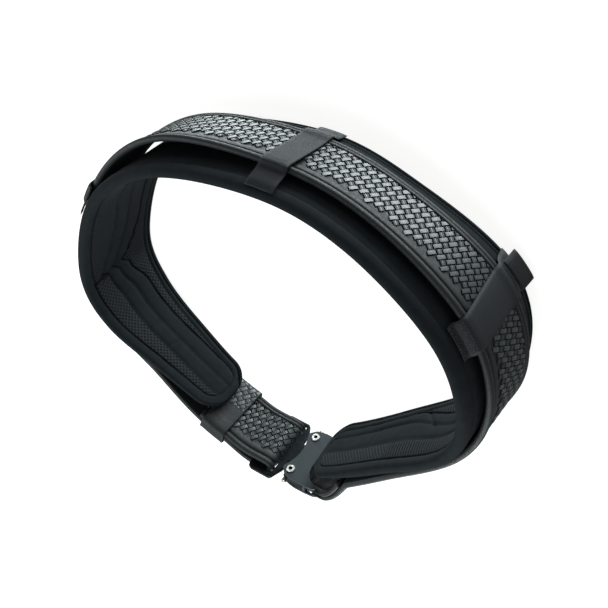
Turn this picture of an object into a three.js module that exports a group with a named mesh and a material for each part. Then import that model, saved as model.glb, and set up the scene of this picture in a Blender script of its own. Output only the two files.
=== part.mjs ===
// Duty belt: a leather belt with a piped edge, carried on a padded waist liner by three webbing
// keepers, and closed in front by a metal buckle with two sprung release levers.
// Millimetres, +Z up. The liner stands on its lower rim at z = 0 and the buckle faces -Y.
import * as THREE from 'three';

const { cos, sin, tan, sqrt, min, max, abs, PI } = Math;

// Belt, liner and webbing
const BELT_WIDTH = 57;
const BELT_THICK = 5;
const LAYER_PITCH = 5.7;        // centre to centre of two belt layers that lie together
const PAD_HALF = 50;            // half the liner's height that PAD_SECTION is drawn for
const PAD_THICK = 12;
const PAD_END_ROUND = 22;       // corner radius at the liner's two ends
const PAD_END_THIN = 0.66;      // share of the thickness left at the ends
const PAD_END_REACH = 90;       // length over which the liner thins
const PAD_STEPS = 72;
const WEB_THICK = 1.6;
const TAB = { width: 25.4, thick: 3.5 };
const CLEAR = 0.35;             // gap between pieces that touch

// Buckle, from its screw line: x along the belt to the tail side, y up, z towards the body
const BUCKLE_MID = 15.75;       // liner inner face to the buckle's middle plane
const PLATE_THICK = 2.5;
const PLATE_GAP = 9.2;          // between the two plates
const PLATE_EDGE = 0.4;         // chamfer
const SCREW = { y: 20.5, shank: 1.9, head: 4, headThick: 1.3, socket: 1.7, socketDeep: 1.1 };
const PIN = { x: -27, radius: 1.75, half: 28.4, turn: 3 };
const BAR = { x: 26.5, half: 2.3, turn: 6 };
const FRAME_THICK = 4.4;
const FRAME_WINDOW_HALF = BELT_WIDTH / 2 + 0.9;
const FRAME_LOW_TRIM = 4.0;     // how much shorter the frame stands out under the belt
const LEVER_THICK = 8.6;
const BUTTON = { x: 1.6, from: 28.8, to: 32.6, radius: 2.5 };

// Ends along the loop, from the screw line towards the tail side
const PAD_PIN_END = -19.5;
const PAD_TAIL_END = 88;
const TAIL_END = 99;
const FOLD_END = -58;
const KEEPER_LOOP = { from: 70, to: 95, wall: 2.2, loose: 0.6, corner: 2.5 };
const SKIVE = { thin: 0.34, from: 35.5, to: 43 };    // belt end pared down between the plates
const STRAIGHT = { pin: 37, tail: 43, blend: 28 };   // belt kept straight by the buckle

// Stations round the loop, clockwise seen from above, from the middle of the back.
// x, y: inner face of the liner in plan. rise: middle of the liner above the floor. half: half its
// height. lift: middle of the belt above the middle of the liner. lean: how far the top leans
// outward, in degrees. low, high: liner inner face to belt inner face at the belt's lower and
// upper edge.
const STATIONS = [
  { at: 'back',            x: 10,   y: 147,  rise: 50, half: 50, lift: -1, lean: 4,  low: 14,   high: 17   },
  { at: 'back left',       x: 88,   y: 134,  rise: 50, half: 50, lift: -2, lean: 4,  low: 14,   high: 16   },
  { at: 'keeper left',     x: 163,  y: 90,   rise: 50, half: 50, lift: 0,  lean: -5, low: 14,   high: 16   },
  { at: 'hip left',        x: 184,  y: 24,   rise: 48, half: 48, lift: 0,  lean: -2, low: 14,   high: 15   },
  { at: 'side left',       x: 160,  y: -46,  rise: 42, half: 42, lift: 2,  lean: 6,  low: 13.5, high: 13.5 },
  { at: 'front left',      x: 93,   y: -114, rise: 40, half: 35, lift: 4,  lean: 8,  low: 13.5, high: 14   },
  { at: 'liner end left',  x: 33,   y: -169, rise: 39, half: 33, lift: 4,  lean: 7,  low: 16.5, high: 16.5 },
  { at: 'buckle',          x: -1,   y: -187, rise: 39, half: 29, lift: 4,  lean: 8,  low: 18,   high: 18   },
  { at: 'liner end right', x: -86,  y: -170, rise: 39, half: 28, lift: 4,  lean: 6,  low: 20.5, high: 20.5 },
  { at: 'front right',     x: -149, y: -139, rise: 38, half: 34, lift: 4,  lean: 3,  low: 13.5, high: 13.5 },
  { at: 'side right',      x: -195, y: -101, rise: 41, half: 41, lift: 3,  lean: 3,  low: 13.5, high: 13.5 },
  { at: 'hip right',       x: -208, y: -44,  rise: 44, half: 44, lift: 2,  lean: 3,  low: 13.5, high: 14   },
  { at: 'keeper right',    x: -170, y: 56,   rise: 48, half: 48, lift: 1,  lean: 2,  low: 14,   high: 16   },
  { at: 'back right',      x: -94,  y: 120,  rise: 50, half: 50, lift: 0,  lean: 5,  low: 19,   high: 23.5 },
];
const CENTRE = { x: -13.1, y: -21.25 };   // middle of the whole belt in the stations' plan

// Liner section, upper half, from the outer face over the rim to the inner face: off is the
// distance from the inner face, v the height above the middle
const PAD_SECTION = [
  { off: 12.0, v: 42.0 },
  { off: 10.4, v: 47.0 },
  { off: 7.4,  v: 49.6 },
  { off: 4.0,  v: 50.0 },
  { off: 1.6,  v: 48.4 },
  { off: 0.8,  v: 45.0 },
  { off: 2.3,  v: 41.0 },
  { off: 1.9,  v: 39.0 },
  { off: 1.9,  v: 14.0 },
  { off: 2.5,  v: 12.5 },
  { off: 0.2,  v: 8.5 },
  { off: 0.2,  v: 4.5 },
  { off: 2.5,  v: 1.2 },
];
const MESH_FIELD = { low: 14.6, high: 38.2, face: 0.2, back: 1.1, inset: 3, endRound: 14 };

// Belt section: w is the distance from the face that lies against the body, v the height.
// Two small pipings run along the lower edge and one large one along the upper edge.
const BELT_SECTION = [
  { w: 0.0, v: -27.6 },
  { w: 1.8, v: -28.5 },
  { w: 4.2, v: -28.2 },
  { w: 5.5, v: -26.9 },
  { w: 5.4, v: -25.4 },
  { w: 4.5, v: -24.8 },
  { w: 5.3, v: -24.0 },
  { w: 5.2, v: -22.4 },
  { w: 4.2, v: -21.5 },
  { w: 4.4, v: 20.4 },
  { w: 5.6, v: 22.0 },
  { w: 6.0, v: 24.8 },
  { w: 5.2, v: 27.3 },
  { w: 2.8, v: 28.5 },
  { w: 0.6, v: 27.6 },
  { w: 0.0, v: 25.0 },
];
const BELT_HALF = 28.5;
const BELT_CREST = 6 - BELT_THICK / 2;     // middle of the belt to the crest of its piping

const FINISH = {
  shell:   { color: 0x1d2223, roughness: 0.92, metalness: 0 },
  mesh:    { color: 0x16191a, roughness: 0.95, metalness: 0 },
  leather: { color: 0x23282a, roughness: 0.45, metalness: 0 },
  web:     { color: 0x26292b, roughness: 0.7,  metalness: 0 },
  plate:   { color: 0x4a5355, roughness: 0.5,  metalness: 0.6 },
  frame:   { color: 0x2a2f31, roughness: 0.45, metalness: 0.5 },
  steel:   { color: 0xc9c9c4, roughness: 0.25, metalness: 1 },
  nickel:  { color: 0xb9a988, roughness: 0.35, metalness: 1 },
};

// The loop, as closed curves through the stations
function closedCurve(a, b, c) {
  const points = STATIONS.map((row) => new THREE.Vector3(row[a], row[b], c ? row[c] : 0));
  return new THREE.CatmullRomCurve3(points, true, 'catmullrom', 0.5);
}
const planCurve = closedCurve('x', 'y');
const wallCurve = closedCurve('half', 'lean', 'rise');
const beltCurve = closedCurve('low', 'high', 'lift');
const CURVE_STEPS = 60;     // steps between two stations when lengths are measured
planCurve.arcLengthDivisions = CURVE_STEPS * STATIONS.length;
const LOOP_LENGTH = planCurve.getLength();
function stationAt(name) {
  return planCurve.getLengths()[CURVE_STEPS * STATIONS.findIndex((row) => row.at === name)];
}
const SCREW_S = stationAt('buckle');

// The wall of the loop at a distance s along it
function wallAt(s) {
  const t = planCurve.getUtoTmapping(0, ((s % LOOP_LENGTH) + LOOP_LENGTH) % LOOP_LENGTH);
  const spot = planCurve.getPoint(t);
  const tangent = planCurve.getTangent(t);
  const wall = wallCurve.getPoint(t);
  const belt = beltCurve.getPoint(t);
  return {
    x: spot.x - CENTRE.x,
    y: spot.y - CENTRE.y,
    out: new THREE.Vector3(-tangent.y, tangent.x, 0),
    tangent,
    half: wall.x,
    lean: tan(THREE.MathUtils.degToRad(wall.y)),
    rise: max(wall.z, wall.x),
    low: belt.x,
    high: belt.y,
    lift: belt.z,
  };
}

// A point of the wall: off outward from the liner's inner face, v above the liner's middle
function place(s, off, v) {
  const wall = wallAt(s);
  const reach = off + v * wall.lean;
  return new THREE.Vector3(wall.x + wall.out.x * reach, wall.y + wall.out.y * reach, wall.rise + v);
}

function smooth(t) {
  const share = min(max(t, 0), 1);
  return share * share * (3 - 2 * share);
}

// A straight extrusion of a shape, one unit deep, with every corner moved by a function
function bentBar(shape, steps, move) {
  const bar = new THREE.ExtrudeGeometry(shape, { depth: 1, steps, bevelEnabled: false });
  const corners = bar.attributes.position;
  for (let i = 0; i < corners.count; i += 1) {
    const moved = move(corners.getX(i), corners.getY(i), corners.getZ(i));
    corners.setXYZ(i, moved.x, moved.y, moved.z);
  }
  bar.computeVertexNormals();
  return bar;
}

// The same faces turned round, for a shape moved to its mirror image
function flipped(geometry) {
  const { array, count } = geometry.attributes.position;
  for (let face = 0; face < count; face += 3) {
    const second = array.slice(face * 3 + 3, face * 3 + 6);
    array.copyWithin(face * 3 + 3, face * 3 + 6, face * 3 + 9);
    array.set(second, face * 3 + 6);
  }
  geometry.computeVertexNormals();
  return geometry;
}

const outline = (points) => new THREE.Shape(points.map(([x, y]) => new THREE.Vector2(x, y)));

const group = new THREE.Group();
function add(parent, name, geometry, finish) {
  const mesh = new THREE.Mesh(geometry, new THREE.MeshStandardMaterial(FINISH[finish]));
  mesh.name = name;
  parent.add(mesh);
  return mesh;
}

// The buckle's own axes, on the screw line in the middle of the belt's height
function buckleAxes() {
  const wall = wallAt(SCREW_S);
  const along = wall.tangent.clone().setZ(0).normalize();
  const up = new THREE.Vector3(0, 0, 1).addScaledVector(wall.out, wall.lean).normalize();
  const inward = new THREE.Vector3().crossVectors(along, up);
  const origin = place(SCREW_S, BUCKLE_MID, wall.lift);
  return { along, up, inward, origin };
}
const AXES = buckleAxes();
const buckle = new THREE.Group();
const toBuckle = new THREE.Matrix4().makeBasis(AXES.along, AXES.up, AXES.inward);
buckle.applyMatrix4(toBuckle.setPosition(AXES.origin));
group.add(buckle);
function onBuckle(x, z) {
  return AXES.origin.clone().addScaledVector(AXES.along, x).addScaledVector(AXES.inward, z);
}

// Liner: a padded band whose height follows the stations, thinner and rounded at its two ends
const PAD_FROM = SCREW_S + PAD_TAIL_END - LOOP_LENGTH;
const PAD_TO = SCREW_S + PAD_PIN_END;
const roundEnd = (into) => 1 - sqrt(max(0, 1 - (1 - min(into, 1)) ** 2));
function linerStation(z) {
  const share = z - 0.6 * sin(2 * PI * z) / (2 * PI);
  const s = PAD_FROM + (PAD_TO - PAD_FROM) * share;
  const toEnd = min(s - PAD_FROM, PAD_TO - s);
  const half = wallAt(s).half - PAD_END_ROUND * roundEnd(toEnd / PAD_END_ROUND);
  const thin = PAD_END_THIN + (1 - PAD_END_THIN) * smooth(toEnd / PAD_END_REACH);
  return { s, toEnd, thin, scale: half / PAD_HALF };
}
function buildLiner() {
  const upper = PAD_SECTION.map((row) => [row.off, row.v]);
  const lower = PAD_SECTION.map((row) => [row.off, -row.v]).reverse();
  add(group, 'liner_pad', bentBar(outline([...upper, ...lower]), PAD_STEPS, (off, v, z) => {
    const { s, thin, scale } = linerStation(z);
    return place(s, off * thin, v * scale);
  }), 'shell');
  const { low, high, face, back, inset, endRound } = MESH_FIELD;
  for (const [name, side] of [['liner_mesh_upper', 1], ['liner_mesh_lower', -1]]) {
    const field = outline([[back, low], [back, high], [face, high - 1], [face, low + 1]]);
    const panel = bentBar(field, PAD_STEPS - 2 * inset, (off, v, z) => {
      const { s, toEnd, thin, scale } = linerStation((inset + (PAD_STEPS - 2 * inset) * z) / PAD_STEPS);
      const start = linerStation(inset / PAD_STEPS).toEnd;
      const height = low + (v - low) * (1 - 0.6 * roundEnd((toEnd - start) / endRound));
      return place(s, off * thin, side * height * scale);
    });
    add(group, name, side > 0 ? panel : flipped(panel), 'mesh');
  }
}

// Belt: one strap from its tail round the buckle's bar, round the waist and round the rear pin.
// Its middle line is a list of rows, each with a place, the way its outer face looks, the way up
// and the share of its thickness.
function layerRow(d, side) {
  const wall = wallAt(SCREW_S + d);
  const fromScrews = d < LOOP_LENGTH / 2 ? d : d - LOOP_LENGTH;
  const atPin = fromScrews < 0;
  const centre = (wall.low + wall.high) / 2 + BELT_THICK / 2 - (side < 0 ? LAYER_PITCH : 0);
  const tilt = wall.lean + (wall.high - wall.low) / BELT_WIDTH;
  const onLoop = place(SCREW_S + d, centre, wall.lift);
  const turn = atPin ? PIN.turn : BAR.turn;
  const straight = onBuckle(fromScrews, -side * turn);
  const free = smooth((abs(fromScrews) - (atPin ? STRAIGHT.pin : STRAIGHT.tail)) / STRAIGHT.blend);
  const out = AXES.inward.clone().negate().lerp(wall.out, free);
  const up = AXES.up.clone().divideScalar(AXES.up.z)
    .lerp(new THREE.Vector3(0, 0, 1).addScaledVector(wall.out, tilt), free);
  const pared = smooth((abs(fromScrews) - SKIVE.from) / (SKIVE.to - SKIVE.from));
  return {
    middle: straight.lerp(onLoop, free),
    facing: out.normalize().multiplyScalar(side),
    up,
    share: atPin ? SKIVE.thin + (1 - SKIVE.thin) * pared : 1,
  };
}
function turnRow(x, radius, way, angle, share) {
  const facing = AXES.inward.clone().multiplyScalar(way * cos(angle))
    .addScaledVector(AXES.along, -way * sin(angle));
  return {
    middle: onBuckle(x, 0).addScaledVector(facing, radius),
    facing,
    up: AXES.up.clone().divideScalar(AXES.up.z),
    share,
  };
}
function beltRows() {
  const stretch = (from, to, count, row) => Array.from({ length: count },
    (_, i) => row(from + (to - from) * (i / (count - 1))));
  return [
    ...stretch(TAIL_END, BAR.x, 12, (d) => layerRow(d, -1)),
    ...stretch(PI / 7, PI * 6 / 7, 6, (angle) => turnRow(BAR.x, BAR.turn, 1, angle, 1)),
    ...stretch(BAR.x, 105, 12, (d) => layerRow(d, 1)),
    ...stretch(120, LOOP_LENGTH - 76, 58, (d) => layerRow(d, 1)),
    ...stretch(LOOP_LENGTH - 66, LOOP_LENGTH + PIN.x, 14, (d) => layerRow(d, 1)),
    ...stretch(PI / 7, PI * 6 / 7, 6, (angle) => turnRow(PIN.x, PIN.turn, -1, angle, SKIVE.thin)),
    ...stretch(PIN.x, FOLD_END, 14, (d) => layerRow(LOOP_LENGTH + d, -1)),
  ];
}
function buildBelt() {
  const rows = beltRows();
  const section = outline(BELT_SECTION.map((row) => [row.w, row.v]));
  add(group, 'duty_belt', bentBar(section, rows.length - 1, (w, v, z) => {
    const row = rows[Math.round(z * (rows.length - 1))];
    return row.middle.clone()
      .addScaledVector(row.facing, (w - BELT_THICK / 2) * row.share)
      .addScaledVector(row.up, v);
  }), 'leather');
}

// A strip of even thickness along a line of points, as a closed outline
function ribbon(points, thick, smoothSteps) {
  const bends = points.map(([x, y]) => new THREE.Vector3(x, y, 0));
  const line = new THREE.CatmullRomCurve3(bends, false, 'centripetal');
  const sides = [[], []];
  for (let i = 0; i <= smoothSteps; i += 1) {
    const point = line.getPoint(i / smoothSteps);
    const tangent = line.getTangent(i / smoothSteps);
    sides[0].push([point.x - tangent.y * thick / 2, point.y + tangent.x * thick / 2]);
    sides[1].unshift([point.x + tangent.y * thick / 2, point.y - tangent.x * thick / 2]);
  }
  return outline([...sides[0], ...sides[1]]);
}

// Webbing keepers: sewn to the liner's outer face above and below the belt, and over its outside.
// top is the height of the upper end on a liner of full height. Each point is the distance from
// the liner's inner face and the height above its middle.
function webPath(wall, top) {
  const onLiner = PAD_THICK + 2 * CLEAR + WEB_THICK / 2;
  const over = CLEAR + WEB_THICK / 2;
  const scale = wall.half / PAD_HALF;
  const crest = wall.lift + BELT_HALF;
  const foot = wall.lift - BELT_HALF;
  return [
    [onLiner - max(0, top - 43) * 0.3, top * scale],
    [onLiner, (top - 2.5) * scale],
    [onLiner + 1.4, (top - 5) * scale],
    [wall.high + 3, crest + 3],
    [wall.high + 5.6 + over, crest + 0.2],
    [wall.high + 6.2 + over, crest - 4],
    [wall.high + 5.8 + over, crest - 10],
    [wall.low + 5.2 + over, foot + 9],
    [wall.low + 5.8 + over, foot + 3],
    [wall.low + 5.2 + over, foot - 0.5],
    [wall.low + 2.5, foot - 4.5],
    [onLiner + 0.6, foot - 9.5],
    [onLiner, -42 * scale],
    [onLiner - 1, -47 * scale],
  ];
}
function bendAlong(shape, { s, slant, width }) {
  const reach = 12;
  const bend = wallAt(s - reach).tangent.angleTo(wallAt(s + reach).tangent) / (2 * reach);
  return bentBar(shape, 3, (off, v, z) => {
    const drop = 0.5 - v / (2 * PAD_HALF);
    return place(s + (z - 0.5) * width / (1 + off * bend) + slant * drop, off, v);
  });
}
function buildWebbing() {
  const webs = [
    { name: 'keeper_web_back', s: 3, slant: 0, top: 48, width: 25.4 },
    { name: 'keeper_web_left', s: stationAt('keeper left') + 12, slant: -12, top: 38, width: 31 },
    { name: 'keeper_web_right', s: stationAt('keeper right') - 16, slant: 0, top: 46, width: 27 },
  ];
  for (const web of webs) {
    const path = ribbon(webPath(wallAt(web.s), web.top), WEB_THICK, 27);
    add(group, web.name, bendAlong(path, web), 'web');
  }
  const tabWeb = { ...webs[1], width: TAB.width };
  const wall = wallAt(tabWeb.s);
  const foot = wall.lift - BELT_HALF;
  const hang = [[7.3, -2.9], [8.1, -7.2], [8.9, -12], [9.8, -16.6]];
  const tab = ribbon(hang.map(([off, v]) => [wall.low + off, foot + v]), TAB.thick, 6);
  add(group, 'pull_tab', bendAlong(tab, tabWeb), 'web');
}

// Leather loop that holds the tail against the belt
function buildKeeperLoop() {
  const { from, to, wall, loose, corner } = KEEPER_LOOP;
  const ring = (grow) => {
    const inside = -LAYER_PITCH - BELT_CREST - loose - grow;
    const outside = BELT_CREST + loose + grow;
    const high = BELT_HALF + loose + grow;
    return [
      [inside, -high + corner], [inside + corner, -high],
      [outside - corner, -high], [outside, -high + corner],
      [outside, high - corner], [outside - corner, high],
      [inside + corner, high], [inside, high - corner],
    ];
  };
  const shape = outline(ring(wall));
  shape.holes.push(new THREE.Path(ring(0).map(([x, y]) => new THREE.Vector2(x, y))));
  add(group, 'keeper_loop', bentBar(shape, 4, (off, v, z) => {
    const row = layerRow(from + (to - from) * z, 1);
    return row.middle.clone().addScaledVector(row.facing, off).addScaledVector(row.up, v);
  }), 'leather');
}

// A flat piece of the buckle, with a chamfered edge where it is a plate
function slab(shape, thick, z, chamfer = 0) {
  const flat = new THREE.ExtrudeGeometry(shape, {
    depth: thick - 2 * chamfer,
    bevelEnabled: chamfer > 0,
    bevelThickness: chamfer,
    bevelSize: chamfer,
    bevelOffset: -chamfer,
    bevelSegments: 1,
    curveSegments: 7,
  });
  return flat.translate(0, 0, z + chamfer);
}
function punch(shape, x, y, radius) {
  shape.holes.push(new THREE.Path().absarc(x, y, radius, 0, 2 * PI, true));
}
const mirrored = (half) => [...half, ...half.map(([x, y]) => [x, -y]).reverse()];

function plateShape() {
  const waist = { x: 2.8, depth: 4.8, half: 18.5, steps: 4 };
  const waistRadius = (waist.half ** 2 + waist.depth ** 2) / (2 * waist.depth);
  const half = [];
  for (let i = 0.5; i <= waist.steps; i += 1) {
    const y = waist.half * (i / waist.steps);
    half.push([waist.x + waistRadius - sqrt(waistRadius ** 2 - y ** 2), y]);
  }
  half.push([7.7, 18.8], [8.2, 20.6], [7.2, 22.8], [3, 27.4], [-2, 28.8], [-8, 29.6], [-20, 29.4]);
  half.push([-28.5, 28.6], [-31.8, 27.4], [-32.8, 25.8], [-31.8, 24.2], [-27, 22.8], [-21, 19.4]);
  half.push([-17.2, 14], [-15.6, 7]);
  const shape = outline(mirrored(half));
  punch(shape, 0, SCREW.y, SCREW.shank + CLEAR);
  punch(shape, 0, -SCREW.y, SCREW.shank + CLEAR);
  return shape;
}
function buildPlates() {
  const inner = slab(plateShape(), PLATE_THICK, PLATE_GAP / 2, PLATE_EDGE);
  add(buckle, 'buckle_plate_inner', inner, 'plate');
  const outer = slab(plateShape(), PLATE_THICK, -PLATE_GAP / 2 - PLATE_THICK, PLATE_EDGE);
  add(buckle, 'buckle_plate_outer', outer, 'plate');
}
function buildCore() {
  const slot = { back: -12.6, half: 11.6 };
  const shape = outline(mirrored([
    [slot.back, slot.half], [4, slot.half], [6, 15], [7.2, 20], [6, 22], [4.5, 23.5],
    [-4, 23.5], [-9, 21.8], [-14, 18.5], [-22.2, 18.5],
  ]));
  punch(shape, 0, SCREW.y, SCREW.shank + CLEAR);
  punch(shape, 0, -SCREW.y, SCREW.shank + CLEAR);
  const thick = PLATE_GAP - 0.6;
  add(buckle, 'buckle_core', slab(shape, thick, -thick / 2), 'frame');
}

// Male half: a tongue on a frame with the belt's bar and a guide bar
function buildTongueFrame() {
  const edge = mirrored([
    [-12, 9.5], [-10.5, 11], [9.2, 11], [9.9, 22.6], [15.2, 35.4], [16.6, 36.2],
    [37, 36.2], [40, 35], [41.2, 32],
  ]);
  const shape = outline(edge.map(([x, y]) => [x, y < -FRAME_WINDOW_HALF ? y + FRAME_LOW_TRIM : y]));
  const windows = [
    { from: BAR.x - BAR.turn - BELT_CREST - 0.6, to: BAR.x - BAR.half, half: FRAME_WINDOW_HALF },
    { from: BAR.x + BAR.half, to: 35, half: FRAME_WINDOW_HALF - 0.4 },
  ];
  for (const { from, to, half } of windows) {
    const corners = [[from, -half], [to, -half], [to, half], [from, half]];
    shape.holes.push(new THREE.Path(corners.map(([x, y]) => new THREE.Vector2(x, y))));
  }
  add(buckle, 'tongue_frame', slab(shape, FRAME_THICK, -FRAME_THICK / 2), 'frame');
}

// A turned piece from its profile of radius and length, along the axis y
const turned = (profile, sides) => new THREE.LatheGeometry(
  profile.map(([radius, length]) => new THREE.Vector2(radius, length)), sides);

function buildScrews() {
  const face = PLATE_GAP / 2 + PLATE_THICK;
  const top = face + CLEAR + SCREW.headThick;
  for (const [name, side] of [['screw_top', 1], ['screw_bottom', -1]]) {
    const screw = turned([
      [0, -face], [SCREW.shank, -face], [SCREW.shank, face + CLEAR], [SCREW.head, face + CLEAR],
      [SCREW.head, top - 0.4], [SCREW.head - 0.5, top], [SCREW.socket, top],
      [SCREW.socket, top - SCREW.socketDeep], [0, top - SCREW.socketDeep],
    ], 14);
    const mesh = add(buckle, name, screw, 'steel');
    mesh.rotation.x = PI / 2;
    mesh.position.y = side * SCREW.y;
  }
}
function buildPin() {
  const { half, radius } = PIN;
  const pin = turned([
    [0, -half], [radius - 0.4, -half], [radius, 0.4 - half],
    [radius, half - 0.4], [radius - 0.4, half], [0, half],
  ], 14);
  add(buckle, 'rear_pin', pin, 'steel').position.x = PIN.x;
}

// Release levers: each turns on its round rear end, and its button stands out of the buckle's edge
function buildLevers() {
  const arm = [
    [-21.6, 21.8], [-19.5, 20.7], [-16.5, 21.4], [-12.5, 24.2], [4, 26.2], [4.4, 27.2], [3.4, 28.3],
    [-4, 28.6], [-12, 29.6], [-19.5, 30], [-21.8, 27.5], [-22.3, 24.5],
  ];
  const dome = BUTTON.radius * 0.35;
  for (const [end, side] of [['top', 1], ['bottom', -1]]) {
    const shape = outline(arm.map(([x, y]) => [x, side * y]));
    add(buckle, `release_lever_${end}`, slab(shape, LEVER_THICK, -LEVER_THICK / 2), 'frame');
    const button = add(buckle, `release_button_${end}`, turned([
      [0, BUTTON.from], [BUTTON.radius, BUTTON.from], [BUTTON.radius, BUTTON.to - dome],
      [BUTTON.radius * 0.7, BUTTON.to - dome * 0.3], [0, BUTTON.to],
    ], 14), 'nickel');
    button.position.x = BUTTON.x;
    button.rotation.x = side > 0 ? 0 : PI;
  }
}

buildLiner();
buildBelt();
buildWebbing();
buildKeeperLoop();
buildPlates();
buildCore();
buildTongueFrame();
buildScrews();
buildPin();
buildLevers();

export default group;
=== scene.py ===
# The looks of the duty belt: a piped basketweave belt on a padded liner, with its steel buckle.
# Lengths are in millimetres until a mesh is finished; the frame and the meshes are in metres.
from bisect import bisect_right
from math import ceil, cos, exp, hypot, pi, radians, sin, sqrt, tan

import bmesh
import bpy
from bpy.props import FloatProperty, FloatVectorProperty, IntProperty, PointerProperty
from mathutils import Matrix, Vector, noise


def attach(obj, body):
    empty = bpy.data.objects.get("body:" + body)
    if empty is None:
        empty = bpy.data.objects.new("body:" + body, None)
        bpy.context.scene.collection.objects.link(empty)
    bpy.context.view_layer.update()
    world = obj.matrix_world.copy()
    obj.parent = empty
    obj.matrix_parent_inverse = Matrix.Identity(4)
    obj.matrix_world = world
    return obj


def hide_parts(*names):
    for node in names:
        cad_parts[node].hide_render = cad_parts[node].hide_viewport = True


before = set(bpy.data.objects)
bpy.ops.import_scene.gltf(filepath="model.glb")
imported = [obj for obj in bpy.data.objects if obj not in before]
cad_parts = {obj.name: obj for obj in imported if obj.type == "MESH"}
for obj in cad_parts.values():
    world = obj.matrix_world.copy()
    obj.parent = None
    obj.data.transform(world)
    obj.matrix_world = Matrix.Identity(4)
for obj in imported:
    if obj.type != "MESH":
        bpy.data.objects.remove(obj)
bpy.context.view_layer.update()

bl_info = {
    "name": "Duty Belt",
    "version": (1, 0, 0),
    "blender": (4, 5, 0),
    "location": "3D View > Sidebar > Duty Belt",
    "description": "Models a piped duty belt, its padded liner, its keepers and its buckle",
    "category": "Object",
}

MM = 0.001

# The belt's build, as in the frame. Places along the belt are lengths past the buckle's screws,
# and negative on the side of the rear pin.
BELT_WIDTH = 57.0
BELT_THICK = 5.0
BELT_HALF = BELT_WIDTH / 2
BELT_CREST = 3.5          # middle of the belt to the crest of its piping
LAYER_PITCH = 5.7         # middle to middle of two layers that lie together
PAD_HALF = 50.0           # half the liner's height at the back
PAD_THICK = 12.0
PAD_END_ROUND = 22.0      # radius of the corners of the liner's ends
PAD_END_THIN = 0.66       # share of its thickness that the liner has at its ends
PAD_END_REACH = 90.0      # length over which it thins
PAD_PIN_END = -19.5       # the liner's ends
PAD_TAIL_END = 88.0
FOLD_END = -58.0          # the belt's ends, both folded inside it
TAIL_END = 99.0
CLEAR = 0.35              # gap between pieces that lie against each other
BUCKLE_MID = 15.75        # liner's inner face to the middle of the buckle
PLATE_THICK = 2.5
PLATE_GAP = 9.2           # between the two plates
PIN = {"x": -27.0, "radius": 1.75, "half": 28.4, "turn": 3.0}
BAR = {"x": 26.5, "half": 2.3, "turn": 6.0}
BEND_STEP = pi / 9        # angle between two rows where the belt turns round a bar
SKIVE = {"thin": 0.34, "from": 35.5, "to": 43.0}          # the belt is pared thin for the pin
STRAIGHT = {"pin": 37.0, "tail": 43.0, "blend": 28.0}     # flat by the buckle, then curved
LOOP_BAND = {"from": 70.0, "to": 95.0, "wall": 2.2, "loose": 0.6, "corner": 3.2}
CENTRE = (-13.1, -21.25)  # middle of the loop's plan, which is the part's origin

# Stations round the waist, clockwise from above, from the middle of the back: the liner's inner
# face in plan, its middle height, half its height, the belt's lift over that middle, the lean in
# degrees, and the reach from the liner's inner face to the belt at its lower and upper edge.
COLUMNS = ("x", "y", "rise", "half", "lift", "lean", "low", "high")
STATIONS = {
    "back":            (10, 147, 50, 50, -1, 4, 14, 17),
    "back left":       (88, 134, 50, 50, -2, 4, 14, 16),
    "keeper left":     (163, 90, 50, 50, 0, -5, 14, 16),
    "hip left":        (184, 24, 48, 48, 0, -2, 14, 15),
    "side left":       (160, -46, 42, 42, 2, 6, 13.5, 13.5),
    "front left":      (93, -114, 40, 35, 4, 8, 13.5, 14),
    "liner end left":  (33, -169, 39, 33, 4, 7, 16.5, 16.5),
    "buckle":          (-1, -187, 39, 29, 4, 8, 18, 18),
    "liner end right": (-86, -170, 39, 28, 4, 6, 20.5, 20.5),
    "front right":     (-149, -139, 38, 34, 4, 3, 13.5, 13.5),
    "side right":      (-195, -101, 41, 41, 3, 3, 13.5, 13.5),
    "hip right":       (-208, -44, 44, 44, 2, 3, 13.5, 14),
    "keeper right":    (-170, 56, 48, 48, 1, 2, 14, 16),
    "back right":      (-94, 120, 50, 50, 0, 5, 19, 23.5),
}
CURVE_STEPS = 60

# Seams of the liner's inner face, as heights over its middle: top and bottom of the two padded
# ridges and the valley between them. s runs on past one turn, from the tail end to the pin end.
RIDGE_SEAMS = (
    {"s": 610, "upper": 11.5, "valley": -3.8, "lower": -19},
    {"s": 700, "upper": 11.5, "valley": -3.8, "lower": -19},
    {"s": 757, "upper": 10, "valley": -5.8, "lower": -21.5},
    {"s": 786, "upper": 14.5, "valley": 2, "lower": -11},
    {"s": 793, "upper": 23, "valley": 9.5, "lower": -4},
    {"s": 804, "upper": 18, "valley": 2.5, "lower": -13},
    {"s": 818, "upper": 11.5, "valley": -4.5, "lower": -20.5},
    {"s": 834, "upper": 8, "valley": -8.5, "lower": -25},
    {"s": 848, "upper": 5, "valley": -10.8, "lower": -26.5},
    {"s": 871, "upper": 6, "valley": -10.3, "lower": -26.5},
    {"s": 890, "upper": 9.5, "valley": -8, "lower": -26},
    {"s": 950, "upper": 13, "valley": -0.5, "lower": -14},
    {"s": 1440, "upper": 13, "valley": 0, "lower": -14},
    {"s": 1520, "upper": 5.6, "valley": -15.6, "lower": -27},
    {"s": 1650, "upper": 5.6, "valley": -12, "lower": -24},
)
# Creases across the liner's inner face: place, height, slant, length, width and depth
CREASES = (
    {"s": 790, "v": 14, "slant": -0.15, "long": 20, "wide": 3.2, "deep": 2.6},
    {"s": 693, "v": 4, "slant": 0.2, "long": 7, "wide": 1.6, "deep": 0.8},
    {"s": 718, "v": 5, "slant": -0.2, "long": 8, "wide": 1.8, "deep": 0.9},
    {"s": 740, "v": -9, "slant": 0.1, "long": 8, "wide": 1.5, "deep": 0.6},
    {"s": 1487, "v": -14, "slant": -1.0, "long": 14, "wide": 2.6, "deep": 1.6},
    {"s": 1560, "v": -6, "slant": 0.3, "long": 10, "wide": 1.8, "deep": 0.7},
)


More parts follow.
